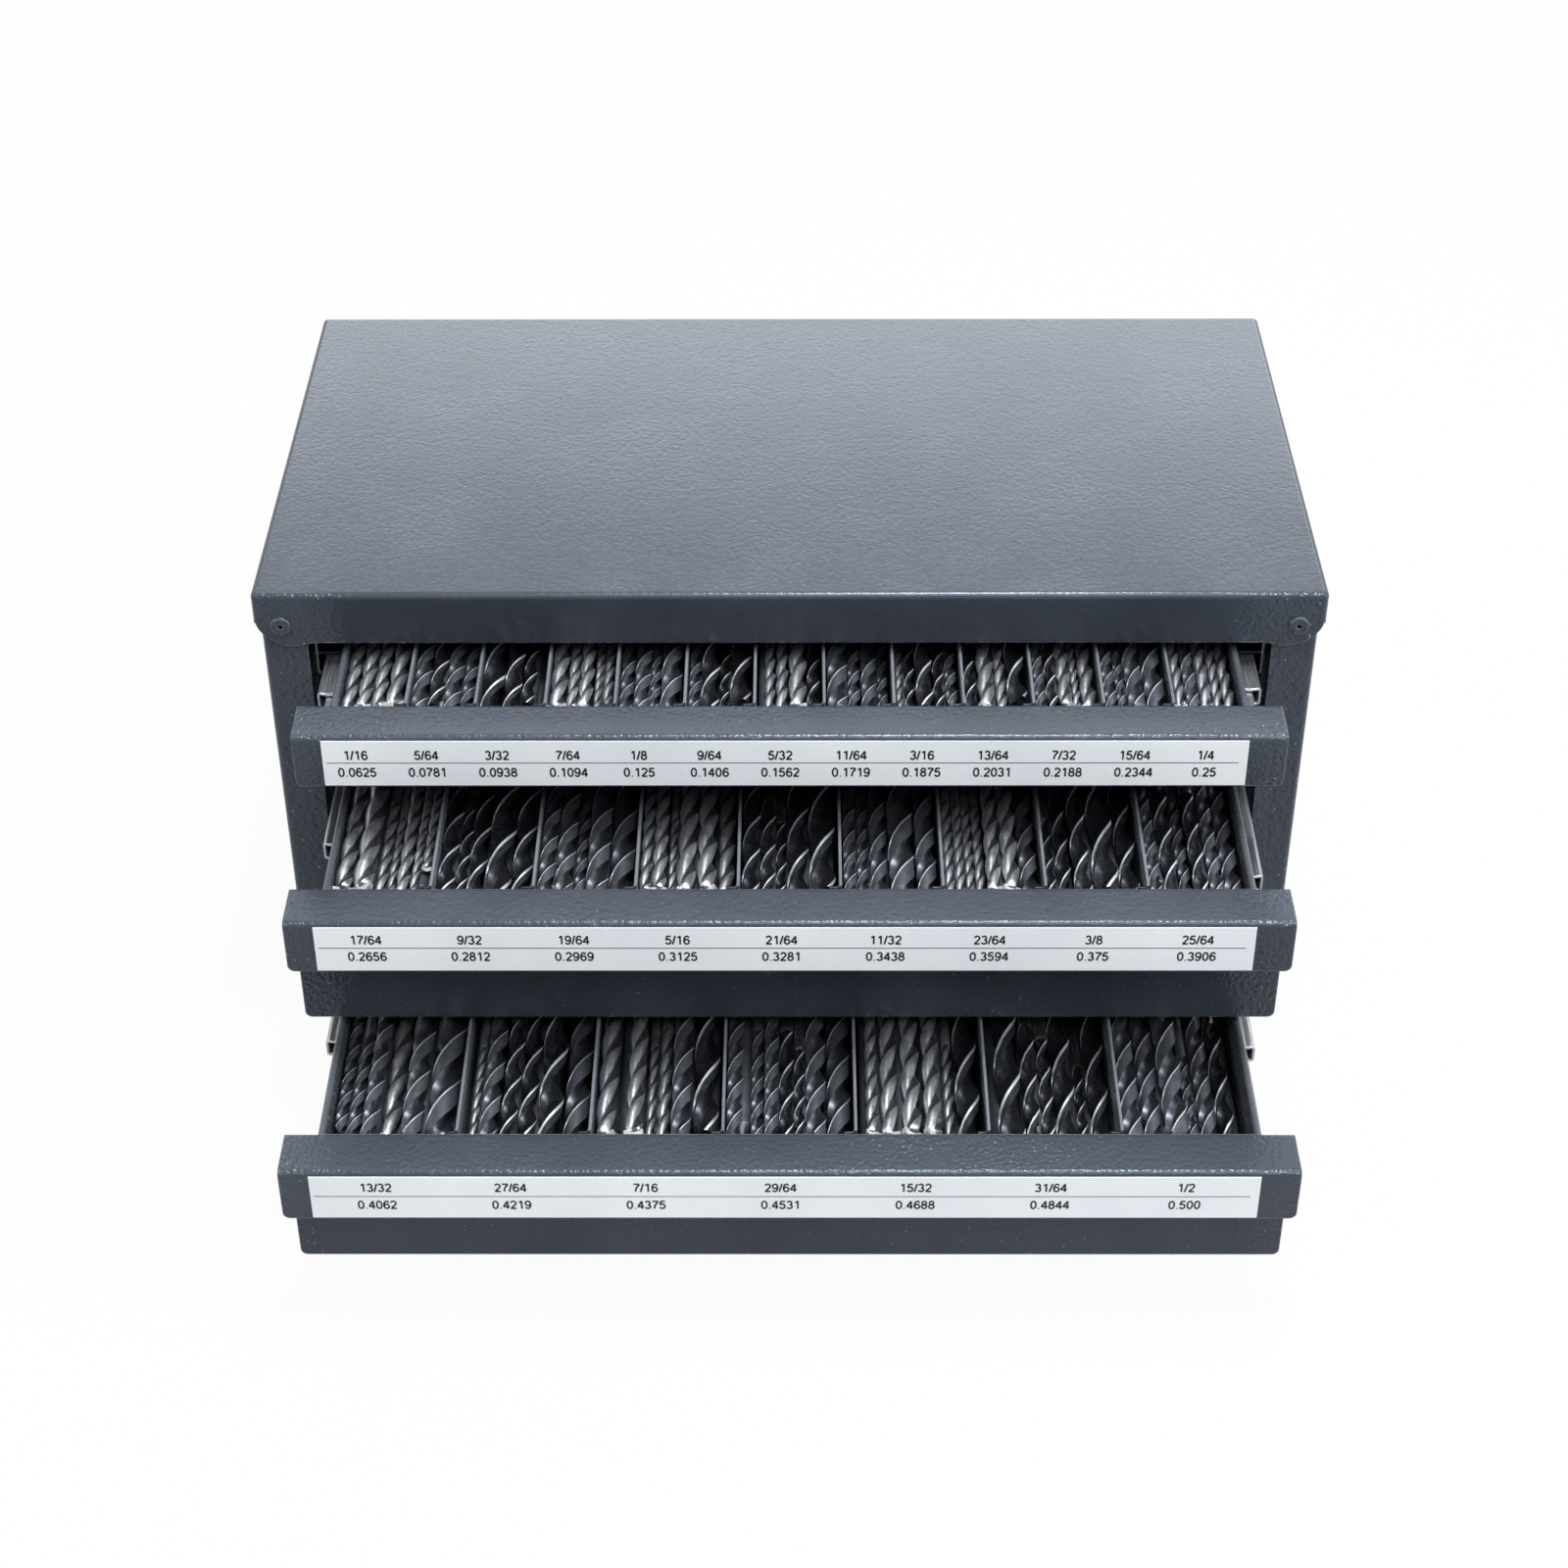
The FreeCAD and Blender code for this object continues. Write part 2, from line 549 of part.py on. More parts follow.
def stop_stud(drawer):
    """Stud on the tray's wall that meets the fixed channel's tab when the drawer is fully open."""
    tab_top = drawer["slide_top"] - MIDDLE_HEIGHT - RUNNING_GAP - CHANNEL_SHEET
    z = tab_top - STOP_TAB_DROP / 2
    y = channel_front_y + CHANNEL_SHEET + STOP_GAP + STOP_STUD_RADIUS + travel
    length = channel_inner_x + STOP_STUD_CATCH - tray_wall_x
    return rod(Vector(tray_wall_x, y, z), ACROSS, STOP_STUD_RADIUS, length)


# ---- Drawers ---------------------------------------------------------------------------------

def drawer_front(drawer):
    """Face and hooded lip, bent from one sheet; the hollow under the lip is the finger pull."""
    half = FACE_SHEET / 2
    face_y = front_y + half
    lip_y = front_y + FACE_SHEET - LIP_DEPTH + half
    top = drawer["top"] - half
    section = [
        (face_y, drawer["bottom"]), (face_y, top), (lip_y, top), (lip_y, drawer["top"] - LIP_HEIGHT),
    ]
    front = bent_sheet(section, FACE_SHEET, FACE_BEND, BACK, UP, ACROSS, -face_half, 2 * face_half)
    lower_edges = (drawer["bottom"], drawer["top"] - LIP_HEIGHT)
    return round_edges(
        front, FACE_CORNER, BACK, lambda middle: any(near(middle.z, z) for z in lower_edges))


def drawer_tray(drawer):
    """Open box with hemmed side walls; its front wall is welded to the back of the face."""
    half = TRAY_SHEET / 2
    floor_z = drawer["bottom"] + TRAY_FLOOR_RISE
    top = drawer["top"] - HEM_DROP
    wall, hem = tray_wall_x - half, hem_x - half
    right_half = [(wall, floor_z + half), (wall, top - half), (hem, top - half), (hem, top - HEM_HEIGHT)]
    left_half = [(-x, z) for x, z in right_half]
    length = tray_rear_y - tray_front_y
    walls = [
        bent_sheet(points, TRAY_SHEET, HEM_GAP / 2, ACROSS, UP, BACK, tray_front_y, length)
        for points in (left_half, right_half)]
    x_range = (-tray_wall_x, tray_wall_x)
    floor = block(x_range, (tray_front_y, tray_rear_y), (floor_z, floor_z + TRAY_SHEET))
    ends = [
        block(x_range, (y, y + TRAY_SHEET), (floor_z, top - half))
        for y in (tray_front_y, tray_rear_y - TRAY_SHEET)]
    tray = walls[0].fuse([walls[1], floor] + ends).removeSplitter()
    return round_edges(tray, TRAY_BEND, BACK, lambda middle: near(middle.z, floor_z))


def divider_spacing(count):
    """Clear width of a compartment when `count` of them share the tray."""
    return (2 * tray_inner_x - (count - 1) * DIVIDER_SHEET) / count


def dividers(drawer):
    """Plates that part the tray from front to back, a tab turned at each end and welded to the tray."""
    half = DIVIDER_SHEET / 2
    floor_z = drawer["bottom"] + TRAY_FLOOR_RISE + TRAY_SHEET
    top = drawer["top"] - HEM_DROP
    near_y, far_y = tray_front_y + TRAY_SHEET + half, tray_rear_y - TRAY_SHEET - half
    width = divider_spacing(drawer["count"])
    plates = []
    for i in range(1, drawer["count"]):
        x = -tray_inner_x + i * (width + DIVIDER_SHEET) - half
        section = [(x - DIVIDER_TAB, near_y), (x, near_y), (x, far_y), (x - DIVIDER_TAB, far_y)]
        plates.append(bent_sheet(
            section, DIVIDER_SHEET, DIVIDER_BEND, ACROSS, BACK, UP, floor_z, top - floor_z))
    return grouped(plates)


def label(drawer):
    """Printed strip on the front of the lip."""
    lip_front_y = front_y + FACE_SHEET - LIP_DEPTH
    low = drawer["top"] - LIP_HEIGHT + LABEL_LOWER_MARGIN
    x = LABEL_SHIFT - LABEL_WIDTH / 2
    return block((x, x + LABEL_WIDTH), (lip_front_y - LABEL_THICKNESS, lip_front_y),
                 (low, drawer["top"] - LABEL_TOP_MARGIN))


# ---- Assembly --------------------------------------------------------------------------------

def assembly():
    """Every node by name, each drawer standing open as far as its share of the travel."""
    nodes = {
        "top_cover": top_cover(),
        "right_side_panel": right_side_panel(),
        "left_side_panel": mirrored(right_side_panel()),
        "base_pan": base_pan(),
        "back_panel": back_panel(),
        "front_cover_rivets": cover_rivets(FRONT_RIVET_DROP, front=True),
        "rear_cover_rivets": cover_rivets(REAR_RIVET_DROP, front=False),
        "back_panel_rivets": back_panel_rivets(),
    }
    sides = {"left": mirrored, "right": lambda shape: shape}
    for side, turned in sides.items():
        nodes[side + "_front_post"] = turned(slide_post(front_post_y))
        nodes[side + "_rear_post"] = turned(slide_post(rear_post_y))
        nodes[side + "_channel_rivets"] = turned(channel_rivets())
    for drawer in drawer_places():
        name = "drawer_%d_" % drawer["number"]
        opened = BACK * -drawer["opened"]
        nodes[name + "front"] = drawer_front(drawer).translated(opened)
        nodes[name + "tray"] = drawer_tray(drawer).translated(opened)
        nodes[name + "dividers"] = dividers(drawer).translated(opened)
        nodes[name + "label"] = label(drawer).translated(opened)
        stud = stop_stud(drawer)
        nodes[name + "stop_studs"] = grouped([mirrored(stud), stud]).translated(opened)
        for side, turned in sides.items():
            nodes[name + side + "_fixed_channel"] = turned(fixed_channel(drawer))
            nodes[name + side + "_rail"] = turned(drawer_rail(drawer)).translated(opened)
            nodes[name + side + "_middle_section"] = turned(middle_section(drawer)).translated(
                opened * drawer["ratios"][side])
    return nodes


os.makedirs("parts", exist_ok=True)
for node, shape in assembly().items():
    shape.exportStep("parts/%s.step" % node)
    print("%-34s %2d solids  %9.1f mm3" % (node, len(shape.Solids), shape.Volume))
print("case %.1f x %.1f x %.1f, drawer travel %.1f" % (COVER_WIDTH, COVER_DEPTH, case_height, travel))
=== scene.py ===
# %% [markdown]
# # Drill bit drawer case
# A bench case for drill bits: a folded steel box with three drawers on telescoping slides, and
# each drawer parted front to back into narrow compartments full of bits.
# The folded sheets, slides and rivets come in from the CAD model, already at their true size and
# place. This lesson gives them their finishes, prints the size labels and fills the compartments.

import json
import math

import bpy
import numpy as np
from mathutils import Matrix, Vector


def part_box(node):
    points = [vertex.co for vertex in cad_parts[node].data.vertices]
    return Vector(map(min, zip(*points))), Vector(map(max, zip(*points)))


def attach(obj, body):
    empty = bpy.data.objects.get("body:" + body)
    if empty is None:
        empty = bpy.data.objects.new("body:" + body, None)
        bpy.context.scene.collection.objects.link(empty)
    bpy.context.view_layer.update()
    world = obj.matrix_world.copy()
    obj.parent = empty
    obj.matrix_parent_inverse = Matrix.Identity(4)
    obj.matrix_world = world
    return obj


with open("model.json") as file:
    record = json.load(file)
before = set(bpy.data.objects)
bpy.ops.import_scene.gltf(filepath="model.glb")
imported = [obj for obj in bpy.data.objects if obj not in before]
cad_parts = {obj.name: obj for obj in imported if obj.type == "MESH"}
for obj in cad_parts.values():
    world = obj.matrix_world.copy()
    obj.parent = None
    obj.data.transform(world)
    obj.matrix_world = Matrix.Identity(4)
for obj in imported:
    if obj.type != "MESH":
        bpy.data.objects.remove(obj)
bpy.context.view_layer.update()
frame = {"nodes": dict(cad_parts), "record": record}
MM = 0.001

# %% [markdown]
# ## The camera
# The camera stands a little under a metre in front of the case and looks down at it by 37 degrees,
# so that the cover's top, the drawer lips and the bits behind them all show. Three turns place it:
# a tilt up from straight down, a turn about the vertical and a slight roll. Writing the angles
# keeps them readable, where a matrix of nine numbers would not be.

# %% Camera
CAMERA_PLACE = (0.0024, -0.9676, 0.7662)
CAMERA_LENS = 67.48
SENSOR_WIDTH = 36.0
CAMERA_DOWN = math.radians(36.99)
CAMERA_TURN = math.radians(0.30)
CAMERA_ROLL = math.radians(-0.20)

camera = bpy.data.objects.new("camera", bpy.data.cameras.new("camera"))
camera.data.sensor_width = SENSOR_WIDTH
camera.data.lens = CAMERA_LENS
camera.location = CAMERA_PLACE
camera.rotation_euler = (
    Matrix.Rotation(CAMERA_TURN, 3, "Z")
    @ Matrix.Rotation(math.pi / 2 - CAMERA_DOWN, 3, "X")
    @ Matrix.Rotation(CAMERA_ROLL, 3, "Z")
).to_euler()
bpy.context.scene.collection.objects.link(camera)
bpy.context.scene.camera = camera
print("camera", CAMERA_PLACE, "lens", CAMERA_LENS)

# %% [markdown]
# ## Small helpers for node materials
# Every finish here is a short node tree. A few helpers keep the trees readable: each adds one
# node and hands back the output that the next node needs, so that a tree reads like a formula.

# %% Node helpers
COLOUR_A, COLOUR_B, COLOUR_RESULT = 6, 7, 2     # the colour sockets of a Mix node
WIDE_RANGE, CLOSE_RANGE = (0.30, 0.70), (0.35, 0.65)    # where most of a noise's values lie


def new_material(name):
    """A material with an empty node tree that already holds its shader and its output."""
    material = bpy.data.materials.new(name)
    material.use_nodes = True
    tree = material.node_tree
    tree.nodes.clear()
    shader = tree.nodes.new("ShaderNodeBsdfPrincipled")
    output = tree.nodes.new("ShaderNodeOutputMaterial")
    tree.links.new(shader.outputs["BSDF"], output.inputs["Surface"])
    return material, tree, shader


def set_inputs(tree, node, inputs):
    """Give a node's inputs their values: a link where the value is another node's output."""
    for socket, value in inputs:
        if isinstance(value, bpy.types.NodeSocket):
            tree.links.new(value, node.inputs[socket])
        else:
            node.inputs[socket].default_value = value


def add_node(tree, kind, inputs=(), **settings):
    """A node of one kind; `inputs` are (socket, number or other node's output) pairs."""
    node = tree.nodes.new("ShaderNode" + kind)
    for name, value in settings.items():
        setattr(node, name, value)
    set_inputs(tree, node, inputs)
    return node


def object_place(tree, scale=(1.0, 1.0, 1.0)):
    """Object coordinates in metres, stretched by `scale`, so that patterns keep their real size."""
    place = add_node(tree, "TexCoord").outputs["Object"]
    return add_node(tree, "Mapping", [("Vector", place), ("Scale", scale)]).outputs["Vector"]


def along(tree, vector, axis):
    """One part, X, Y or Z, of a vector."""
    return add_node(tree, "SeparateXYZ", [("Vector", vector)]).outputs[axis]


def noise(tree, place, cell, detail=2.0, roughness=0.5):
    """Noise whose lumps are about `cell` metres across."""
    return add_node(tree, "TexNoise", [
        ("Vector", place), ("Scale", 1.0 / cell),
        ("Detail", detail), ("Roughness", roughness)]).outputs["Fac"]


def remapped(tree, value, span, to_low=0.0, to_high=1.0):
    """A value's range, from a low to a high, stretched to another range and held inside it."""
    return add_node(tree, "MapRange", [
        ("Value", value), ("From Min", span[0]), ("From Max", span[1]),
        ("To Min", to_low), ("To Max", to_high)]).outputs["Result"]


def maths(tree, operation, first, second):
    """The result of one Math node on two outputs or numbers."""
    return add_node(tree, "Math", [(0, first), (1, second)], operation=operation).outputs["Value"]


def mixed_colour(tree, share, first, second):
    """A blend of two colours, `share` of the second."""
    mix = add_node(tree, "Mix", data_type="RGBA")
    tree.links.new(share, mix.inputs[0])
    for index, colour in ((COLOUR_A, first), (COLOUR_B, second)):
        if isinstance(colour, bpy.types.NodeSocket):
            tree.links.new(colour, mix.inputs[index])
        else:
            mix.inputs[index].default_value = (*colour, 1.0)
    return mix.outputs[COLOUR_RESULT]


def rounded_normal(tree, radius, samples):
    """The normal a sheet would have if its edges were rounded by `radius`."""
    return add_node(tree, "Bevel", [("Radius", radius)], samples=samples).outputs["Normal"]


def bump(tree, strength, depth, height, normal=None):
    """The normal that a pattern of heights gives, laid over another normal if there is one."""
    inputs = [("Strength", strength), ("Distance", depth), ("Height", height)]
    if normal is not None:
        inputs.append(("Normal", normal))
    return add_node(tree, "Bump", inputs).outputs["Normal"]


print("helpers ready")

# %% [markdown]
# ## Powder coat
# The sheets are sprayed with charcoal powder and baked. The powder melts into a satin skin with a
# fine orange peel, and it wrinkles where the film is thick: at the ends of the long front faces
# and in patches elsewhere. Two noises of the same grain make the relief, a soft one for the peel
# and a rougher one for the wrinkles. A slow third noise lets the wrinkles through in patches, and
# with them some pale specks, which are painted glints of the relief. Bump is enough, because the
# lumps are only a few hundredths high.
# Handling rubs the coat thin on the folds and cut edges, and those edges catch the light. The
# paler colour there is both: wear, and a painted highlight along the edge. The Bevel node finds
# them: its normal turns away from the sheet's own one only near an edge, so the two normals' dot
# product says how near the edge is, and that drives the paler colour.

# %% Powder coat finish
CHARCOAL = (0.036, 0.042, 0.054)
CHARCOAL_LIGHT = (0.044, 0.051, 0.065)
# wear and painted highlight: the paler colour of folds and cut edges
EDGE_WEAR_AND_HIGHLIGHT = (0.200, 0.212, 0.235)
EDGE_ROUND = 0.9 * MM
EDGE_NEAR = (0.985, 0.90)       # the two normals' dot product, from off the edge to on it
EDGE_SPOTS, LEAST_EDGE_SHARE = (0.35, 0.62), 0.25
# painted glints: the colour of the pale specks on the wrinkled coat
GLINT_SPECK_PALE = (0.55, 0.57, 0.60)
SPECK_CELL = 2.4 * MM
SPECK_RADIUS = (0.17, 0.10)     # from rim to heart, in cells
SPECK_STRENGTH = 0.38
SPECKLESS = 0.80                # share of the cells that stay without a speck
PATCH_CELL = 45 * MM
PATCH_RANGE = (0.50, 0.66)
BETWEEN_PATCHES = 0.3
END_RANGE = (150 * MM, 168 * MM)
FRONT_RANGE = (-0.2, -0.8)
PEEL_CELL, PEEL_RELIEF = 1.7 * MM, 0.1 * MM
WRINKLE_CELL, WRINKLE_RELIEF = 1.7 * MM, 0.6 * MM
COOL_GLOSS, GLOSS_LEVEL = (0.80, 0.89, 1.0, 1.0), 0.35
GLOSS_CHANGE = (-0.03, 0.04)


def wrinkled_share(tree, place, patch, patches):
    """Strength of the wrinkles: full at the ends of a face that looks forward, else in patches."""
    away = add_node(tree, "Math", [(0, along(tree, place, "X"))], operation="ABSOLUTE")
    near_end = remapped(tree, away.outputs["Value"], END_RANGE)
    normal = add_node(tree, "TexCoord").outputs["Normal"]
    front = remapped(tree, along(tree, normal, "Y"), FRONT_RANGE)
    patchy = remapped(tree, patch, PATCH_RANGE, BETWEEN_PATCHES * patches, patches)
    return maths(tree, "MAXIMUM", maths(tree, "MULTIPLY", near_end, front), patchy)


def glint_speck_share(tree, place):
    """Strength of the specks, which are painted glints: a dot in the middle of a few cells of a cell
    pattern.
    """
    cells = add_node(tree, "TexVoronoi", [("Vector", place), ("Scale", 1.0 / SPECK_CELL)])
    lot = add_node(tree, "SeparateColor", [("Color", cells.outputs["Color"])]).outputs["Red"]
    dot = remapped(tree, cells.outputs["Distance"], SPECK_RADIUS, 0.0, SPECK_STRENGTH)
    return maths(tree, "MULTIPLY", dot, maths(tree, "GREATER_THAN", lot, SPECKLESS))


def edge_wear_and_highlight_share(tree, rounded, coarse):
    """How much an edge is rubbed bare and painted with a highlight: only near an edge, and in spots along
    it.
    """
    flat = add_node(tree, "NewGeometry").outputs["Normal"]
    alike = add_node(tree, "VectorMath", [(0, rounded), (1, flat)], operation="DOT_PRODUCT")
    near_edge = remapped(tree, alike.outputs["Value"], EDGE_NEAR)
    spotty = remapped(tree, coarse, EDGE_SPOTS, LEAST_EDGE_SHARE, 1.0)
    return maths(tree, "MULTIPLY", near_edge, spotty)


def powder_coat(name, dark, light, gloss, peel, wrinkle, patches):
    """Satin coat: `peel` and `wrinkle` are the strengths of its relief, `patches` how much of
    the wrinkles shows away from the ends of the sheets."""
    material, tree, shader = new_material(name)
    place = object_place(tree)
    patch = noise(tree, place, PATCH_CELL)
    fine = noise(tree, place, PEEL_CELL, detail=1.0)
    coarse = noise(tree, place, WRINKLE_CELL, detail=2.5)
    share = wrinkled_share(tree, place, patch, patches)
    colour = mixed_colour(tree, remapped(tree, patch, CLOSE_RANGE), dark, light)
    # painted glints, only where the coat is wrinkled
    speck = maths(tree, "MULTIPLY", glint_speck_share(tree, place), share)
    glint_speckled = mixed_colour(tree, speck, colour, GLINT_SPECK_PALE)
    rounded = rounded_normal(tree, EDGE_ROUND, samples=6)
    # the edges get a paler colour: part wear, part painted highlight
    edge_worn_and_lit = mixed_colour(tree, edge_wear_and_highlight_share(tree, rounded, coarse), glint_speckled, EDGE_WEAR_AND_HIGHLIGHT)
    peeled = bump(tree, peel, PEEL_RELIEF, fine, rounded)
    wrinkles = maths(tree, "MULTIPLY", coarse, share)
    set_inputs(tree, shader, [
        ("Base Color", edge_worn_and_lit),
        ("Normal", bump(tree, 1.0, wrinkle * WRINKLE_RELIEF, wrinkles, peeled)),
        ("Roughness", remapped(tree, coarse, WIDE_RANGE, *(gloss + change for change in GLOSS_CHANGE))),
        ("Specular IOR Level", GLOSS_LEVEL),
        ("Specular Tint", COOL_GLOSS)])
    print("finish", name)
    return material


print("powder coat: peel", PEEL_CELL / MM, "mm across")

# %% [markdown]
# ## Bare, ground and blasted steel
# The running sections of the slides are rolled from strip that keeps its dark skin and shines
# where the balls and edges rub. Rolling leaves streaks along the strip. A noise squeezed across
# the strip and stretched along it gives them. The same function, stretched the other way, gives
# the fine rings that grinding leaves round a bit's shank.
# Blasted and oxidised bits have no direction in their surface, only an even matte grain with
# slow blotches, so their finish takes a plain noise, darkened here and there by a slower one.

# %% Steel finishes
STREAK_CELL = 0.35 * MM
BLOTCH_CELL = 5 * MM
BLOTCH_RANGE = (0.16, 0.36)
GRAIN_CHANGE = (-0.05, 0.08)
FINE_RELIEF = 0.03 * MM
STREAK_BUMP, GRAIN_BUMP = 0.15, 0.18


def steel(name, dark, light, low_rough, high_rough, stretch, edge=0.0, metallic=1.0):
    """Steel with streaks, `stretch` times finer in x, y and z, and edges rounded by `edge`."""
    material, tree, shader = new_material(name)
    streaks = noise(tree, object_place(tree, stretch), STREAK_CELL, detail=3.0, roughness=0.6)
    rounded = rounded_normal(tree, edge, samples=4) if edge else None
    set_inputs(tree, shader, [
        ("Base Color", mixed_colour(tree, remapped(tree, streaks, WIDE_RANGE), dark, light)),
        ("Normal", bump(tree, STREAK_BUMP, FINE_RELIEF, streaks, rounded)),
        ("Roughness", remapped(tree, streaks, WIDE_RANGE, low_rough, high_rough)),
        ("Metallic", metallic)])
    print("finish", name)
    return material


def blasted(name, dark, light, rough, grain_cell, metallic):
    """Steel or carbide with an even matte grain, as sand blasting or a rough grind leaves it."""
    material, tree, shader = new_material(name)
    place = object_place(tree)
    grain = noise(tree, place, grain_cell, detail=3.0, roughness=0.65)
    both = maths(tree, "MULTIPLY", grain, noise(tree, place, BLOTCH_CELL))
    set_inputs(tree, shader, [
        ("Base Color", mixed_colour(tree, remapped(tree, both, BLOTCH_RANGE), dark, light)),
        ("Normal", bump(tree, GRAIN_BUMP, FINE_RELIEF, grain)),
        ("Roughness", remapped(tree, grain, WIDE_RANGE, *(rough + change for change in GRAIN_CHANGE))),
        ("Metallic", metallic)])
    print("finish", name)
    return material


print("steel: streaks", STREAK_CELL / MM, "mm across")

# %% [markdown]
# ## Label film and ink
# The labels are white film. A faint cool tint that varies slowly, and a trace of waviness from
# the coat below, keep it from looking like a cut-out. The ink is a dark grey, a little uneven.

# %% Film and ink finishes
FILM_COOL, FILM_WHITE = (0.80, 0.815, 0.83), (0.87, 0.88, 0.89)
FILM_CLOUD, FILM_WAVE = 60 * MM, 4 * MM
FILM_BUMP, FILM_RELIEF = 0.08, 0.2 * MM
FILM_ROUGH, INK_ROUGH = 0.38, 0.45
INK_DARK, INK_LIGHT = (0.006, 0.007, 0.009), (0.016, 0.018, 0.021)
INK_CELL = 0.8 * MM


def label_film(name):
    """White film with a slow change of tint and a slight waviness."""
    material, tree, shader = new_material(name)
    place = object_place(tree)
    cloud = remapped(tree, noise(tree, place, FILM_CLOUD), CLOSE_RANGE)
    set_inputs(tree, shader, [
        ("Base Color", mixed_colour(tree, cloud, FILM_COOL, FILM_WHITE)),
        ("Normal", bump(tree, FILM_BUMP, FILM_RELIEF, noise(tree, place, FILM_WAVE))),
        ("Roughness", FILM_ROUGH)])
    return material


def ink(name):
    """Printed dark grey, a little uneven in its density."""
    material, tree, shader = new_material(name)
    density = remapped(tree, noise(tree, object_place(tree), INK_CELL), CLOSE_RANGE)
    set_inputs(tree, shader, [
        ("Base Color", mixed_colour(tree, density, INK_DARK, INK_LIGHT)),
        ("Roughness", INK_ROUGH)])
    return material


film = label_film("label_film")
label_ink = ink("label_print")
print("finishes", film.name, label_ink.name)

# %% [markdown]
# ## Painted shade in the corners
# The dividers' front tabs and the inside of the fixed channels sit deep in corners under the
# lips, in shade. Their colour is painted shade: a copy of the finish turns black past a limit
# in x or y, without cutting the sheet in two.

# %% A finish with painted shade past a limit
# painted shade: the black that the shaded corners get
PAINTED_SHADE_BLACK = (0.014, 0.015, 0.019)
TAB_SHADE_DEPTH = 1.3 * MM
WEB_SHEET = 1.1 * MM


def with_painted_shade(material, name, axis, operation, limit):
    """A copy of a finish with painted shade: black where x, y or z of the piece is past a limit."""
    copy = material.copy()
    copy.name = name
    tree = copy.node_tree
    shader = next(node for node in tree.nodes if node.type == "BSDF_PRINCIPLED")
    before = shader.inputs["Base Color"].links[0].from_socket
    place = add_node(tree, "TexCoord").outputs["Object"]
    past = maths(tree, operation, along(tree, place, axis), limit)
    set_inputs(tree, shader, [("Base Color", mixed_colour(tree, past, before, PAINTED_SHADE_BLACK))])
    return copy


print("corners are black", TAB_SHADE_DEPTH / MM, "mm deep at the tabs")

# %% [markdown]
# ## Finishes on the CAD pieces
# A CAD piece keeps its mesh and gets its finish by name. The order of the rules matters: the
# first word that is found in a piece's name decides.

# %% Dress the CAD pieces
ALONG = (1.0, 0.02, 1.0)
case_coat = powder_coat(
    "case_paint", CHARCOAL, CHARCOAL_LIGHT, gloss=0.19, peel=0.50, wrinkle=1.0, patches=0.08)
front_coat = powder_coat(
    "drawer_paint", (0.038, 0.044, 0.056), (0.047, 0.054, 0.067),
    gloss=0.20, peel=0.7, wrinkle=1.2, patches=0.80)
tray_coat = powder_coat(
    "tray_paint", (0.066, 0.070, 0.082), (0.085, 0.090, 0.103),
    gloss=0.26, peel=0.4, wrinkle=0.3, patches=0.3)
divider_coat = powder_coat(
    "divider_paint", (0.125, 0.132, 0.150), (0.165, 0.173, 0.192),
    gloss=0.28, peel=0.4, wrinkle=0.3, patches=0.3)
slide_steel = steel(
    "slide_steel", (0.28, 0.29, 0.31), (0.66, 0.67, 0.70),
    low_rough=0.26, high_rough=0.40, stretch=ALONG, edge=EDGE_ROUND, metallic=0.92)
channel_steel = steel(
    "channel_steel", (0.07, 0.074, 0.084), (0.20, 0.208, 0.225),
    low_rough=0.26, high_rough=0.40, stretch=ALONG, edge=EDGE_ROUND)

# painted shade: the fixed channels are black everywhere but on their outer web
web_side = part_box("drawer_1_right_fixed_channel")[1].x - WEB_SHEET
right_channel = with_painted_shade(channel_steel, "right_channel", "X", "LESS_THAN", web_side)
left_channel = with_painted_shade(channel_steel, "left_channel", "X", "GREATER_THAN", -web_side)
shaded_tab_coats = []
# painted shade: each divider's front tab, in the shade under its drawer's lip, is black
for number in (1, 2, 3):
    name = "drawer_%d_dividers" % number
    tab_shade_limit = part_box(name)[0].y + TAB_SHADE_DEPTH
    coat = with_painted_shade(divider_coat, "divider_paint_%d" % number, "Y", "LESS_THAN", tab_shade_limit)
    shaded_tab_coats.append((name, coat))

FINISH_BY_WORD = (
    ("label", film),
    ("left_fixed_channel", left_channel),
    ("right_fixed_channel", right_channel),
    ("middle_section", slide_steel),
    ("rail", slide_steel),
    ("stop_studs", slide_steel),
    ("channel_rivets", slide_steel),
    ("tray", tray_coat),
    *shaded_tab_coats,
    ("front_cover_rivets", case_coat),
    ("left_front_post", case_coat),
    ("right_front_post", case_coat),
    ("_front", front_coat),
    ("", case_coat),
)

for name, node in frame["nodes"].items():
    finish = next(material for word, material in FINISH_BY_WORD if word in name)
    node.data.materials.clear()
    node.data.materials.append(finish)
print("dressed", len(frame["nodes"]), "pieces")

# %% [markdown]
# ## Printed sizes
# Each label has a row of fractions over a row of decimals, with a thin rule between, and each
# pair stands in front of its compartment. The figures are plain sans-serif ones. A drawn pen
# stroke is a good way to make them: a figure is a few arcs and lines, and the ink is the ribbon
# that a pen of one width leaves along them. Sizes run from 1/16 to 1/2 in steps of 1/64.

# %% Pen strokes of the figures
# every length here is a share of the type size
CAP = 0.704
PEN, POINT_PEN = 0.148, 0.115
WIDE, NARROW = 0.556, 0.278
ARC_STEPS = 20


def arc(x, z, across, up, start, end):
    """Points on an ellipse: its centre plus cosine and sine of an angle that runs evenly."""
    angle = np.radians(np.linspace(start, end, ARC_STEPS))
    return np.column_stack([x + across * np.cos(angle), z + up * np.sin(angle)])


def path(*pieces):
    """Points and runs of points, one after the other, as one line."""
    return np.vstack([np.atleast_2d(piece) for piece in pieces])


SIX = [
    arc(0.285, 0.222, 0.190, 0.190, 0, 360),
    path(arc(0.305, 0.335, 0.213, 0.338, 40, 180), (0.093, 0.222)),
]
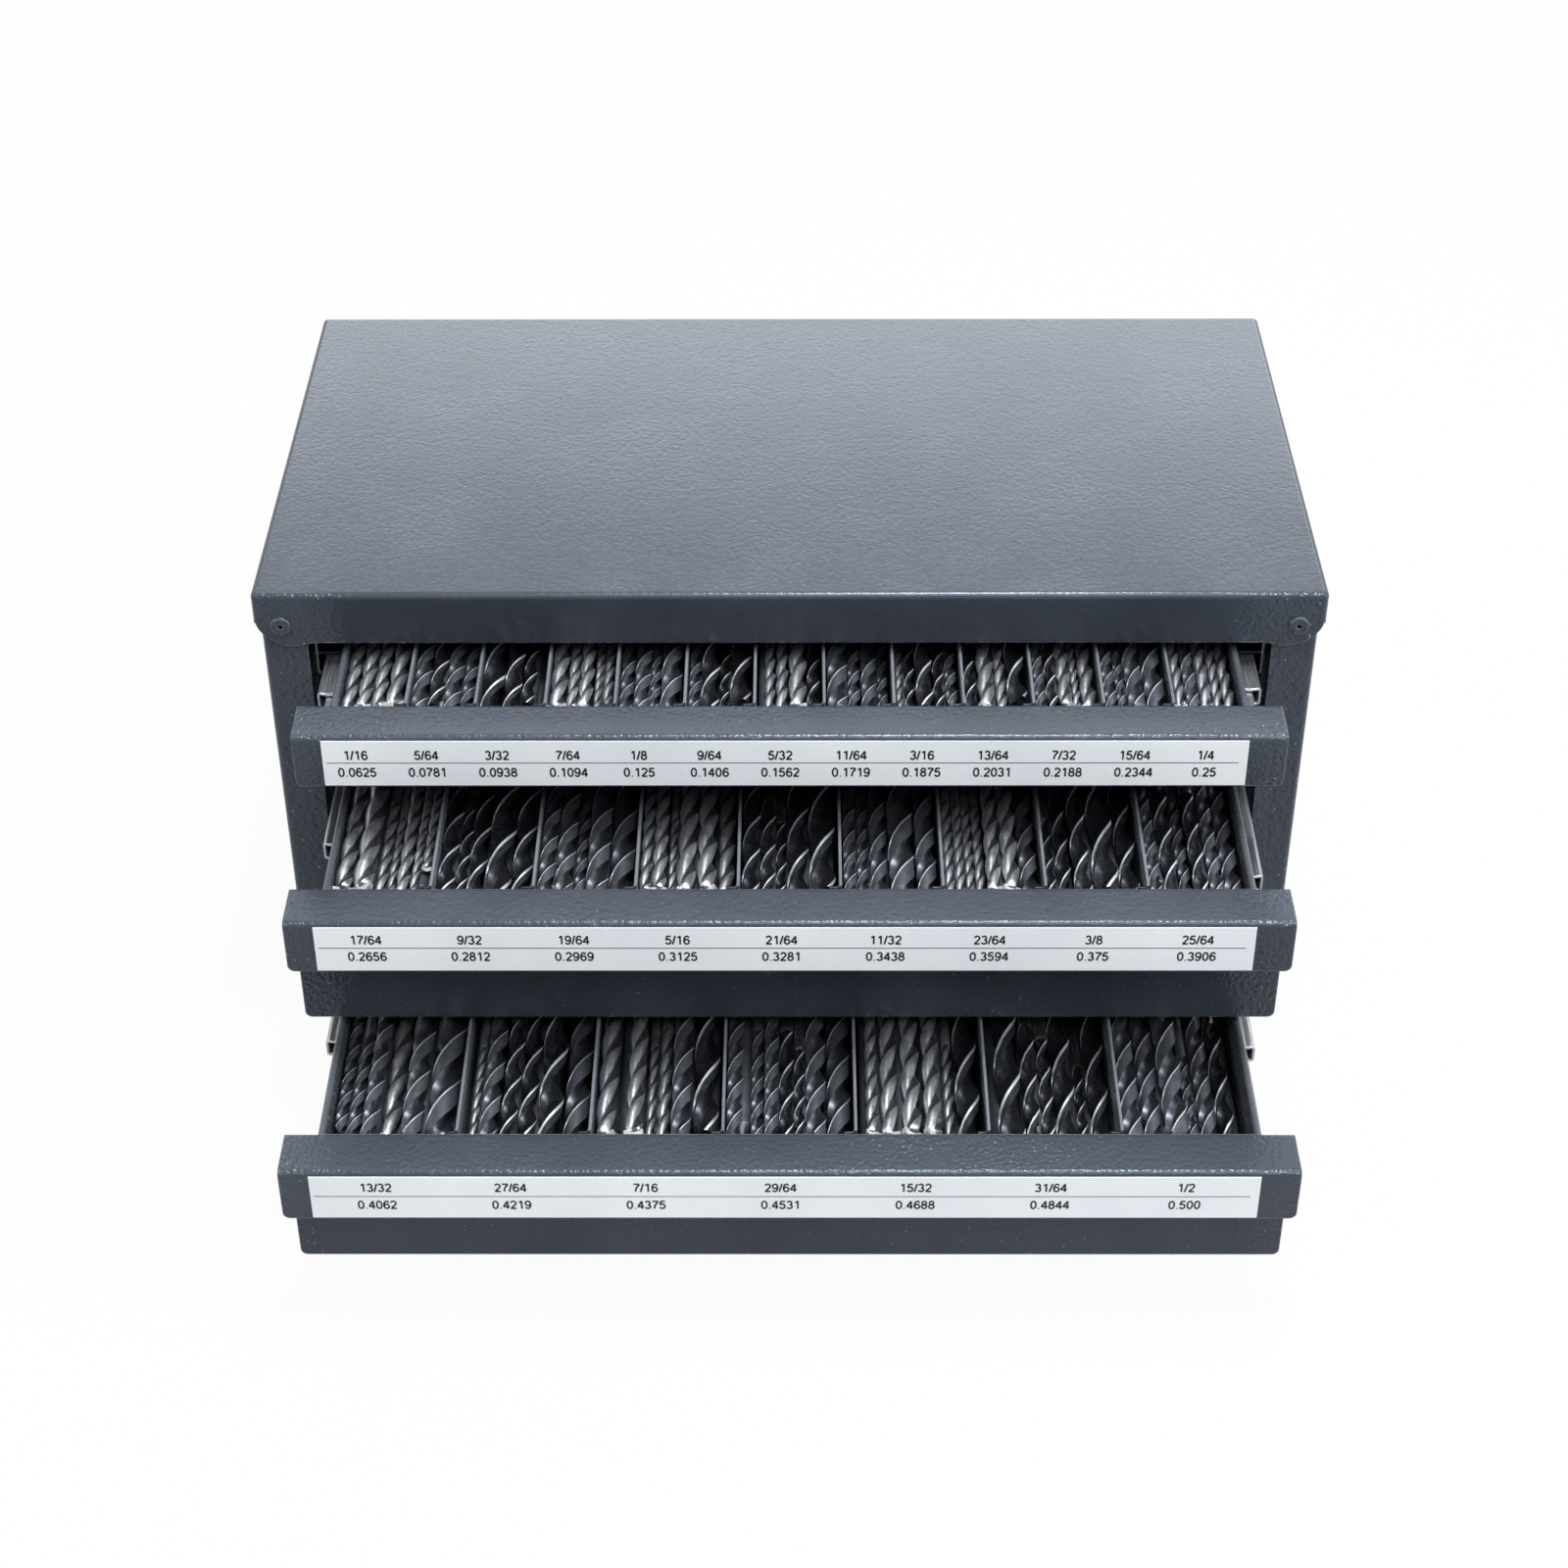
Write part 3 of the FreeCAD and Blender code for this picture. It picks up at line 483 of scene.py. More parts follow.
# room that the character takes, and its strokes; a 9 is a 6 turned half round
FIGURES = {
    "0": (WIDE, [arc(0.278, 0.352, 0.192, 0.320, 0, 360)]),
    "1": (WIDE, [path((0.340, 0.0), (0.340, 0.705)), path((0.340, 0.685), (0.150, 0.540))]),
    "2": (WIDE, [path(arc(0.272, 0.492, 0.185, 0.180, 168, -28), (0.090, 0.050)),
                 path((0.052, 0.039), (0.490, 0.039))]),
    "3": (WIDE, [arc(0.262, 0.516, 0.160, 0.156, 165, -90), arc(0.262, 0.200, 0.195, 0.162, 90, -162)]),
    "4": (WIDE, [path((0.378, 0.0), (0.378, 0.690)), path((0.378, 0.672), (0.060, 0.215)),
                 path((0.030, 0.203), (0.520, 0.203))]),
    "5": (WIDE, [path((0.470, 0.666), (0.155, 0.666)), path((0.158, 0.680), (0.098, 0.345)),
                 arc(0.262, 0.232, 0.195, 0.196, 145, -160)]),
    "6": (WIDE, SIX),
    "7": (WIDE, [path((0.060, 0.666), (0.492, 0.666)),
                 path((0.480, 0.672), arc(0.700, 0.000, 0.490, 0.640, 118, 178))]),
    "8": (WIDE, [arc(0.275, 0.524, 0.155, 0.148, 0, 360), arc(0.275, 0.204, 0.193, 0.168, 0, 360)]),
    "9": (WIDE, [np.array((WIDE, CAP)) - stroke for stroke in SIX]),
    "/": (NARROW, [path((0.030, -0.010), (0.248, 0.716))]),
    ".": (NARROW, [path((0.138, 0.0), (0.138, 0.095))]),
}


def ribbon(points, width):
    """The strip a pen leaves: each point of the line shifted half the width along its normal."""
    slope = np.gradient(points, axis=0)
    normal = np.column_stack([-slope[:, 1], slope[:, 0]])
    normal /= np.linalg.norm(normal, axis=1, keepdims=True)
    left, right = points + normal * width / 2, points - normal * width / 2
    n = len(points)
    first = np.arange(n - 1)
    quads = np.column_stack([first, first + n, first + n + 1, first + 1])
    return np.vstack([left, right]), quads


print("figures", "".join(FIGURES))

# %% [markdown]
# A line of figures is the ribbons of its characters side by side, centred on a point. The
# figures are drawn a little narrower than tall, as on the real strips.

# %% Lines of print
FIGURE_HEIGHT = 3.72 * MM
FIGURE_NARROWING = 0.83


def line_of_figures(text, centre_x, centre_z):
    """The ribbons, as (x, z) vertices and quads, of a line of figures centred on a point."""
    em = FIGURE_HEIGHT / CAP
    start = -sum(FIGURES[character][0] for character in text) / 2
    ribbons = []
    for character in text:
        advance, strokes = FIGURES[character]
        for stroke in strokes:
            points, quads = ribbon(stroke, POINT_PEN if character == "." else PEN)
            points = points + (start, -CAP / 2)
            ribbons.append((points * (em * FIGURE_NARROWING, em) + (centre_x, centre_z), quads))
        start += advance
    return ribbons


def fraction(sixty_fourths):
    """A size in its lowest terms, such as 3/32."""
    shared = math.gcd(sixty_fourths, 64)
    return "%d/%d" % (sixty_fourths // shared, 64 // shared)


def decimal(sixty_fourths):
    """A size to four places, without the noughts at its end; only a half keeps three places."""
    if sixty_fourths == 32:
        return "0.500"
    return ("%.4f" % (sixty_fourths / 64)).rstrip("0")


print(fraction(4), decimal(4), fraction(32), decimal(32))

# %% [markdown]
# ## Where the compartments are
# Tabbed dividers part each drawer into compartments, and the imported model's record holds the box
# of each one. Reading the boxes from it, rather than writing them again, keeps the print and the
# bits in line with the sheet metal.

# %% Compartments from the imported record
openings = {o["name"]: np.array(o["box_m"]) for o in frame["record"]["physics"]["openings"]}
DRAWERS = {}
for number in (1, 2, 3):
    stem = "drawer_%d_compartment_" % number
    DRAWERS[number] = [openings[name] for name in openings if name.startswith(stem)]
print("compartments", {number: len(boxes) for number, boxes in DRAWERS.items()})

# %% [markdown]
# ## Printing the labels
# All the print of one label is one mesh, two hundredths of a millimetre in front of the film,
# about as thick as ink, so it throws no shadow. The strips are stuck on by hand, so each one's
# rows have their own height and sit a little to the left of the compartments.

# %% Print the labels
RULE_WIDTH = 0.34 * MM
RULE_ENDS = (1.2 * MM, 3.0 * MM)
PRINT_SHIFT = {1: -2.8 * MM, 2: -2.3 * MM, 3: -2.6 * MM}
# below the label's top: middle of the fractions, the rule, middle of the decimals
PRINT_ROWS = {
    1: (6.0 * MM, 9.3 * MM, 13.3 * MM),
    2: (5.4 * MM, 9.0 * MM, 12.7 * MM),
    3: (4.9 * MM, 9.0 * MM, 12.9 * MM),
}
INK_LIFT = 0.02 * MM
SMALLEST_SIZE = 4       # in 64ths of an inch


def joined(parts):
    """One mesh from several: each part's faces count on from the vertices of those before it.

    A part is its vertices and then its faces, as one array for each number of corners.
    """
    vertices, faces, count = [], [], 0
    for points, *face_arrays in parts:
        for array in face_arrays:
            faces += (array + count).tolist()
        vertices.append(points)
        count += len(points)
    return np.vstack(vertices), faces


def new_piece(name, vertices, faces, materials, face_finish=None):
    """A mesh object at the origin; `face_finish` gives each face's material by its index."""
    mesh = bpy.data.meshes.new(name)
    mesh.from_pydata(vertices, [], faces)
    for material in materials:
        mesh.materials.append(material)
    if face_finish is not None:
        mesh.polygons.foreach_set("material_index", np.asarray(face_finish, dtype=np.int32))
    mesh.update()
    piece = bpy.data.objects.new(name, mesh)
    bpy.context.scene.collection.objects.link(piece)
    return piece


size = SMALLEST_SIZE
for number, boxes in DRAWERS.items():
    low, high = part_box("drawer_%d_label" % number)
    fraction_drop, rule_drop, decimal_drop = PRINT_ROWS[number]
    rule_z = high.z - rule_drop
    rule = np.array([(low.x + RULE_ENDS[0], rule_z), (high.x - RULE_ENDS[1], rule_z)])
    ribbons = [ribbon(rule, RULE_WIDTH)]
    for box in boxes:
        centre = box[:, 0].mean() + PRINT_SHIFT[number]
        ribbons += line_of_figures(fraction(size), centre, high.z - fraction_drop)
        ribbons += line_of_figures(decimal(size), centre, high.z - decimal_drop)
        size += 1
    flat, quads = joined(ribbons)
    place = np.column_stack([flat[:, 0], np.full(len(flat), low.y - INK_LIFT), flat[:, 1]])
    printed = new_piece("drawer_%d_label_print" % number, place, quads, [label_ink])
    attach(printed, "drawer_%d" % number)
    print("label", number, "faces", len(printed.data.polygons))

# %% [markdown]
# ## Drill bits
# Three kinds of bit fill the case. A twist bit has two broad lands with a narrow polished margin
# and open flutes. A brad-point bit has narrow ground lands, deep black flutes, a centre spike and
# two spurs. A masonry bit has soft ridges that overlap like roof tiles, and a carbide plate
# across its tip.
# All three are one surface: a cross-section given as radius against angle, carried along the
# bit while it turns. Because the mesh turns with the flutes, its edges follow the lands, and a
# crisp land needs few faces.

# %% Cross-sections
# kind: (margin angle, land's end angle, land's clearance, flute's depth, how square the flute is)
SECTIONS = {
    "t": (7.0, 84.0, 0.045, 0.52, 0.80),
    "b": (14.0, 48.0, 0.085, 0.60, 0.75),
    "m": (3.0, 106.0, 0.400, 0.24, 0.70),
}
# share of the clearance at the margin and at five places across the land
LAND_SHAPE = {
    "t": (0.0, 1.0, 1.0, 1.0, 1.0, 1.0),
    "b": (0.0, 1.0, 1.0, 1.0, 1.0, 1.0),
    "m": (0.05, 0.02, 0.06, 0.28, 0.60, 1.0),
}
MARGIN_STEP = 2.0       # degrees from the margin to the land's first point
FLUTE_STEPS = 9
LAND, MARGIN, SHANK, FLUTE = 0, 1, 2, 3


def cross_section(kind):
    """Angles and radii of a bit of radius 1, once round, and the finish of each face between.

    Over the margin the radius is 1. Over the land it is 1 less the clearance. Across the flute
    it is the straight blend from there back to 1, less the depth times a power of the sine that
    rises and falls once. The second half repeats the first half a turn on. A masonry bit takes
    the clearance little by little: its land is highest just behind the margin and falls away
    towards its end, like a petal laid on the next.
    The angles are negated at the end, so that each land trails its margin, as it must in a bit
    that cuts when it is turned to the right.
    """
    margin, land_end, clearance, depth, square = SECTIONS[kind]
    margin_radius, *land_radius = 1.0 - clearance * np.array(LAND_SHAPE[kind])
    land = np.linspace(margin + MARGIN_STEP, land_end, len(land_radius))
    share = np.linspace(0.0, 1.0, FLUTE_STEPS + 1)[1:-1]
    flute = land_end + share * (180.0 - land_end)
    dip = depth * np.sin(np.pi * share) ** square
    flute_radius = (1 - clearance) * (1 - share) + margin_radius * share - dip
    half = np.concatenate([[0.0, margin], land, flute])
    radius = np.concatenate([[margin_radius] * 2, land_radius, flute_radius])
    angles = -np.radians(np.concatenate([half, half + 180.0]))
    marks = np.array([MARGIN] + [LAND] * len(land) + [FLUTE] * (len(flute) + 1))
    return angles[::-1], np.tile(radius, 2)[::-1], np.roll(np.tile(marks, 2)[::-1], -1)


for kind in SECTIONS:
    print("section", kind, len(cross_section(kind)[0]), "points")

# %% [markdown]
# Along its length a bit has a tip, a fluted stretch, a short run-out and a round shank. The tip
# closes the surface: rings that shrink to one point, set forward or back by kind, which gives
# the cone of a twist bit, or the spike and spurs of a brad point. The face in front of the first
# ring and the one behind the last are fans of triangles, so that both ends are closed.

# %% One bit
# length for one full turn of the flutes, in diameters
PITCH_SHARE = {"t": 5.3, "b": 6.2, "m": 4.7}
# fluted length and whole length: (diameters, metres more) of each
LENGTHS = {
    "t": ((7.5, 20 * MM), (9.0, 42 * MM)),
    "b": ((6.5, 20 * MM), (9.0, 46 * MM)),
    "m": ((7.0, 22 * MM), (8.5, 42 * MM)),
}
# tip rings by kind: (share of the radius, place behind the foremost point in radii)
TIPS = {
    "t": ((0.35, 0.22), (0.70, 0.44), (1.00, 0.64)),
    "b": ((0.13, 0.34), (0.24, 0.56), (0.55, 0.62), (0.84, 0.56), (1.00, 0.22)),
    "m": ((0.50, 0.06), (0.86, 0.18), (1.00, 0.44)),
}
SHANK_SHARE = {"t": 1.0, "b": 1.0, "m": 0.90}
ROWS_PER_TURN = 20
RUNOUT_ROUND = np.linspace(0.25, 1.0, 4)    # how round the section is at the rows of the run-out
RUNOUT_FLUTED = 2       # rows of the run-out that still have the flutes' finishes
RUNOUT_LENGTH, SHANK_START, END_BEVEL = 0.8, 0.9, 0.2    # in diameters
SHANK_PLACES = np.array([0.0, 0.5, 1.0])
END_SHARE = 0.86        # of the radius, past the bevel


def ring_quads(rings, around):
    """Quads between each ring and the next, where a ring is `around` vertices in order."""
    i, j = np.meshgrid(np.arange(rings - 1), np.arange(around), indexing="ij")
    a, b = i * around + j, i * around + (j + 1) % around
    return np.stack([a, a + around, b + around, b], -1).reshape(-1, 4)


def end_fans(rings, around):
    """Triangles from the first ring to the vertex after all the rings, from the last to the next."""
    ring = np.arange(around)
    after = (ring + 1) % around
    last = (rings - 1) * around
    front = np.column_stack([ring, after, np.full(around, rings * around)])
    rear = np.column_stack([last + after, last + ring, np.full(around, rings * around + 1)])
    return np.vstack([front, rear])


def drill_bit(kind, diameter, phase):
    """Vertices, quads, triangles and face finishes of a bit whose tip is at the origin, along +y.

    A vertex sits at radius times (cosine, sine) of an angle, in the x-z plane. The angle is the
    section's own, plus the phase, less a full turn for each pitch of length, so that the flutes
    climb to the right. Towards the shank the section's radius blends into the round one.
    """
    radius = diameter / 2
    fluted, whole = [times * diameter + more for times, more in LENGTHS[kind]]
    pitch = PITCH_SHARE[kind] * diameter
    angles, section, marks = cross_section(kind)
    tip_share, tip_place = np.array(TIPS[kind]).T
    rows = int(ROWS_PER_TURN * fluted / pitch)
    body_y = np.linspace(tip_place[-1] * radius, fluted, rows)[1:]
    runout_y = fluted + RUNOUT_ROUND * RUNOUT_LENGTH * diameter
    shank = whole - fluted - (SHANK_START + END_BEVEL) * diameter
    shank_y = SHANK_PLACES * shank + fluted + SHANK_START * diameter
    y = np.concatenate([tip_place * radius, body_y, runout_y, shank_y, [whole]])
    scale = np.concatenate([tip_share, np.ones(len(y) - len(tip_share) - 1), [END_SHARE]])
    cut = len(tip_share) + len(body_y)
    roundness = np.concatenate([np.zeros(cut), RUNOUT_ROUND, np.ones(len(shank_y) + 1)])
    turned = np.minimum(y, runout_y[-1]) * (2 * np.pi / pitch)
    share = (1 - roundness)[:, None] * section + roundness[:, None] * SHANK_SHARE[kind]
    reach = radius * scale[:, None] * share
    turn = angles[None, :] + phase - turned[:, None]
    grid = np.stack([reach * np.cos(turn), np.repeat(y[:, None], len(angles), 1), reach * np.sin(turn)], -1)
    rings, around = grid.shape[:2]
    vertices = np.vstack([grid.reshape(-1, 3), [(0, 0, 0), (0, whole, 0)]])
    finish = np.tile(marks, (rings - 1, 1))
    finish[:len(tip_share) - 1] = LAND
    finish[cut + RUNOUT_FLUTED:] = SHANK
    finish = np.concatenate([finish.ravel(), np.repeat([LAND, SHANK], around)])
    return vertices, ring_quads(rings, around), end_fans(rings, around), finish


sample = drill_bit("t", 8 * MM, 0.0)
print("a twist bit of 8 mm has", len(sample[1]) + len(sample[2]), "faces")

# %% [markdown]
# A masonry bit's plate is a flat piece of carbide brazed into a slot across the tip. It is a
# little wider than the body, has a roof-shaped front edge and thins towards it. The rods under
# the top layer hardly show, so they are plain ones with a blunt cone in front.

# %% Carbide plate and plain rod
PLATE_HALF = 0.54
# its corners: share of the half width, then place and half thickness in diameters
PLATE_CORNERS = np.array([
    (-1.0, 0.52, 0.17), (-1.0, 0.16, 0.15), (-0.25, 0.0, 0.06),
    (0.25, 0.0, 0.06), (1.0, 0.16, 0.15), (1.0, 0.52, 0.17)])
ROD_SIDES = 10
ROD_CONE = 0.8
ROD_SHARES = np.array([0.2, 1.0, 1.0, 1.0])


def carbide_plate(diameter, turn):
    """Prism across the tip, turned about y: the roof outline at two sides of the plate.

    Each outline stands half the thickness from the middle plane, less towards the front edge.
    """
    x, y, half_thick = (PLATE_CORNERS * (PLATE_HALF, 1.0, 1.0) * diameter).T
    x, y, z = np.tile(x, 2), np.tile(y, 2), np.concatenate([half_thick, -half_thick])
    cosine, sine = math.cos(turn), math.sin(turn)
    points = np.column_stack([x * cosine - z * sine, y, x * sine + z * cosine])
    n = len(PLATE_CORNERS)
    ring = np.arange(n)
    after = (ring + 1) % n
    sides = np.column_stack([ring, after, after + n, ring + n])
    return points, sides, np.stack([ring[::-1], ring + n])


def rod(radius, length):
    """A round rod along +y: four rings, whose radii are the shares, and a face on each end."""
    y = np.array([0.0, ROD_CONE * radius, 0.5 * length, length])
    rings = len(y)
    angle = np.linspace(0, 2 * np.pi, ROD_SIDES, endpoint=False)
    reach = radius * ROD_SHARES[:, None]
    grid = np.stack([reach * np.cos(angle), np.repeat(y[:, None], ROD_SIDES, 1),
                     reach * np.sin(angle)], -1)
    ring = np.arange(ROD_SIDES)
    ends = np.stack([ring, (rings - 1) * ROD_SIDES + ring[::-1]])
    return grid.reshape(-1, 3), ring_quads(rings, ROD_SIDES), ends


print("a carbide plate has", sum(len(faces) for faces in carbide_plate(7 * MM, 0.0)[1:]), "faces")

# %% [markdown]
# ## What lies in each compartment
# The top layer of each compartment is written out from left to right: t, b or m for the kind,
# then the diameter in millimetres, then, after a plus sign, how far a bit has slid back from
# the front wall. A number after a minus sign is a bare gap. The layers below, of which only
# glimpses show, are plain rods, and a seeded random generator picks their sizes.

# %% The filling plan
FILLING = {
    1: ("m5.8 m5.4 m5.2 m6.8", "t6.3 b5.2+2 t6.0 t4.8", "b8.4+1 b6.3+1 b4.8+5 -3.4",
        "m6.6 m4.4 m5.4 m3.3 m4.0", "t5.2 t5.6 t3.8 t7.6", "t4.5 b6.6 b3.8 b7.6+5",
        "-2.4 m4.1 m4.5 m6.6 b4.6+4", "t7.2 t4.6 t5.8 t3.8+3", "m3.2 b3.9 b6.1+1 b4.2 t4.4+7",
        "b4.8 m6.4 m4.4 b7.4+5", "t4.2 b4.3 m5.4 m3.0 m6.0", "t4.6 t3.5 t6.3 t7.6",
        "m4.3 t4.9 m4.9 m3.7 m4.8"),
    2: ("m6.3 m7.0 m4.2 m3.2 m4.8 m3.2 m3.6+14", "b6.1 b4.4 b6.3 b9.3 b7.2", "t5.8 t6.4 t4.2 t7.6 t8.6",
        "m4.4 m5.0 m3.2 m7.0 m6.8 m6.2", "b6.2 b5.2 b3.8 b7.6 b9.2", "t4.6 t4.2+4 t6.2 t9.2 t7.2",
        "m3.9 m3.4 m3.5 m3.7 m5.6 m6.4 t6.6", "b4.1 b5.3 b6.4 b9.2 b7.2", "t4.6 b5.9 t4.3 b5.2 t5.2 t6.4"),
    3: ("t4.5+9 t4.6 t5.6 m7.2+1 t7.6 t10.2", "-2 m3.2 t6.4 b5.6 b6.2 b8.6 t8.6",
        "m7.0 -2.4 m6.2 m3.8 m4.8 t6.8 b9.0", "t5.6 -2.6 t4.6 t4.9 b5.2 b3.8 t7.2 t8.4",
        "-1 m4.4 m6.6 m6.8 m6.4 m3.8 b8.4", "-2.4 b9.4 b5.6 b4.8 b8.0 b3.8 b7.6",
        "t7.2 t7.0 t8.4 t3.8 t6.4 b6.4 -2"),
}


def read_plan(text):
    """A compartment's plan as (kind, diameter, set back) in metres; a gap has the kind None."""
    found = []
    for word in text.split():
        if word[0] == "-":
            found.append((None, float(word[1:]) * MM, 0.0))
            continue
        diameter, _, back = word[1:].partition("+")
        found.append((word[0], float(diameter) * MM, float(back or 0) * MM))
    return found


print("words in the plan", sum(len(read_plan(text)) for plan in FILLING.values() for text in plan))

# %% [markdown]
# ## Settling the bits
# Seen from the front, a compartment is a narrow box and every bit a circle. A circle dropped at
# a given x comes to rest on the floor or on the highest circle under it, where the two centres
# are one radius plus the other apart. Rows are dropped from the bottom up. The lower rods'
# thickness is tried over a range, and the pile whose top comes closest under the rim is kept.

# %% Drop circles into a box
RIM_ROOM = 1.1 * MM
TOP_ROOM, LOWER_ROOM = 0.3 * MM, 0.1 * MM       # spare width that a row keeps
TOP_GAPS, LOWER_GAPS = (0.4, 1.0), (0.2, 1.0)   # how unevenly the spare width is shared out
LOWER_DIAMETER = {1: 6.0 * MM, 2: 7.4 * MM, 3: 8.2 * MM}
LOWER_MIX = (0.8, 1.2)
LOWER_SEED = 7
TRIED_SIZES = np.linspace(0.72, 1.3, 26)


def spread(diameters, width, jitter):
    """Centres of circles side by side, the spare width shared out between them."""
    spare = max(width - diameters.sum(), 0.0)
    gaps = spare * jitter / jitter.sum()
    left = np.cumsum(gaps[:-1]) + np.concatenate([[0.0], np.cumsum(diameters)[:-1]])
    return left + diameters / 2


def drop(xs, radii, placed):
    """The circles placed already and, resting on them one after the other, the new ones."""
    placed = list(placed)
    for x, radius in zip(xs, radii):
        under = np.array(placed).reshape(-1, 3)
        near = np.abs(under[:, 0] - x) < under[:, 2] + radius
        reach = (under[near, 2] + radius) ** 2 - (under[near, 0] - x) ** 2
        height = max([radius, *(under[near, 1] + np.sqrt(reach))])
        placed.append((x, height, radius))
    return placed


def fill(box, top_row, lower_diameter, rng):
    """The best pile: its top, how many lower rods it has, and all its circles (x, z, radius)."""
    width, depth = box[1, 0] - box[0, 0], box[1, 2] - box[0, 2]
    diameters = np.array([diameter for _, diameter, _ in top_row])
    diameters = diameters * min(1.0, (width - TOP_ROOM) / diameters.sum())
    top_x = spread(diameters, width, rng.uniform(*TOP_GAPS, len(diameters) + 1))
    real = np.array([kind is not None for kind, _, _ in top_row])
    best = None
    for size in TRIED_SIZES * lower_diameter:
        draw = np.random.default_rng(LOWER_SEED)
        placed = []
        while True:
            row = size * draw.uniform(*LOWER_MIX, int(width / size))
            row *= min(1.0, (width - LOWER_ROOM) / row.sum())
            pile = drop(spread(row, width, draw.uniform(*LOWER_GAPS, len(row) + 1)), row / 2, placed)
            full = drop(top_x[real], diameters[real] / 2, pile)
            top = max(z + r for _, z, r in full)
            if top > depth - RIM_ROOM:
                break
            placed = pile
            if best is None or top > best[0]:
                best = (top, len(pile), full)
    return best


test_box = DRAWERS[2][0]
rest = fill(test_box, read_plan(FILLING[2][0]), LOWER_DIAMETER[2], np.random.default_rng(1))
print("pile of", len(rest[2]), "circles, top at", round(rest[0] / MM, 1), "of",
      round((test_box[1, 2] - test_box[0, 2]) / MM, 1), "mm")

# %% [markdown]
# ## Finishes of the bits
# Twist bits are oxidised to a dark grey, and their margins wear bright. Brad-point bits keep a
# bright ground margin and shank beside black flutes. Masonry bits are blasted to a pale matte
# grey. The flutes of the twist and masonry bits are painted darker than their lands, as painted
# shade in the hollows. Each kind has four finishes, in the order of the marks that a
# cross-section gives: land, margin, shank and flute.

# %% Finishes of the bits
# a blasted finish: name, dark, light, roughness, grain and how metallic it is
ROUND = (0.15, 8.0, 0.15)
black_oxide = blasted("black_oxide", (0.120, 0.127, 0.146), (0.175, 0.184, 0.208), 0.42, 0.3 * MM, 0.85)
# painted shade: the twist bits' flutes are darker than their lands
oxide_flute = blasted("oxide_flute", (0.045, 0.048, 0.057), (0.080, 0.085, 0.099), 0.34, 0.3 * MM, 0.85)
worn_edge = steel("worn_edge", (0.66, 0.68, 0.72), (0.90, 0.92, 0.95), 0.46, 0.56, ROUND)
ground_steel = steel("ground_steel", (0.36, 0.37, 0.39), (0.58, 0.59, 0.61), 0.24, 0.36, ROUND)
land_black = blasted("land_black", (0.050, 0.053, 0.062), (0.100, 0.106, 0.120), 0.34, 0.5 * MM, 0.85)
flute_black = blasted("flute_black", (0.016, 0.017, 0.021), (0.040, 0.042, 0.050), 0.30, 0.8 * MM, 0.8)
bright_margin = steel("bright_margin", (0.80, 0.82, 0.85), (0.96, 0.97, 0.99), 0.50, 0.58, ROUND)
blasted_steel = blasted("blasted_steel", (0.30, 0.307, 0.327), (0.58, 0.59, 0.615), 0.37, 0.35 * MM, 0.95)
blasted_edge = blasted("blasted_edge", (0.45, 0.46, 0.48), (0.62, 0.63, 0.65), 0.42, 0.35 * MM, 0.95)
# painted shade: the masonry bits' flutes are darker than their lands
blasted_flute = blasted("blasted_flute", (0.08, 0.084, 0.095), (0.17, 0.177, 0.192), 0.40, 0.35 * MM, 0.95)
carbide = blasted("carbide", (0.28, 0.272, 0.264), (0.50, 0.492, 0.484), 0.50, 0.4 * MM, 0.5)
BIT_FINISHES = [black_oxide, worn_edge, black_oxide, oxide_flute,
                land_black, bright_margin, ground_steel, flute_black,
                blasted_steel, blasted_edge, blasted_steel, blasted_flute]
FINISH_START = {"t": 0, "b": 4, "m": 8}

# %% [markdown]
# ## Filling the drawers
# Loose bits never lie quite alike, so each one gets a turn about its axis, a small lean and a
# small set-back of its own from a generator with a fixed seed. A bit beside a divider's tab
# stops at the tab. All that lies in one compartment is one object, which rides with its drawer,
# because nothing in it moves by itself.

# %% Fill the drawers
FRONT_ROOM = -1.4 * MM
TAB_REACH, TAB_ROOM = 6.5 * MM, 1.1 * MM
ROD_LENGTH, ROD_BACK = (80 * MM, 150 * MM), 12 * MM
BIT_BACK, PLATE_BACK = 0.6 * MM, (0.6 * MM, 2.0 * MM)
PLATE_REACH = 0.3       # how far the plate stands out of the body, in diameters
MOST_LEAN = 0.002
MOST_TURN = 0.7         # radians, of a plate
SEED_PER_DRAWER = 100
SHARP = math.radians(40)


def lean(points, slope):
    """The points pushed sideways in x in proportion to their length along the bit."""
    moved = points.copy()
    moved[:, 0] += slope * points[:, 1]
    return moved


def laid_rod(radius, place, rng):
    """A rod at its place, slid back at random, and the finish of each of its faces."""
    points, quads, ends = rod(radius, rng.uniform(*ROD_LENGTH))
    slid = place + (0.0, rng.uniform(0, ROD_BACK), 0.0)
    return (points + slid, quads, ends), [FINISH_START["t"]] * (len(quads) + len(ends))


def laid_bit(kind, radius, place, rng):
    """A bit at its place, the finish of each of its faces, and the plates it has: none or one."""
    phase = rng.uniform(0, 2 * np.pi)
    slid = place + (0.0, rng.uniform(0, BIT_BACK), 0.0)
    points, quads, fans, marks = drill_bit(kind, 2 * radius, phase)
    points = lean(points, rng.uniform(-MOST_LEAN, MOST_LEAN))
    plates = []
    if kind == "m":
        points[:, 1] += PLATE_REACH * 2 * radius
        slid[1] += rng.uniform(*PLATE_BACK)
        plate, sides, ends = carbide_plate(2 * radius, rng.uniform(-MOST_TURN, MOST_TURN))
        plates.append((plate + slid, sides, ends))
    return (points + slid, quads, fans), (marks + FINISH_START[kind]).tolist(), plates


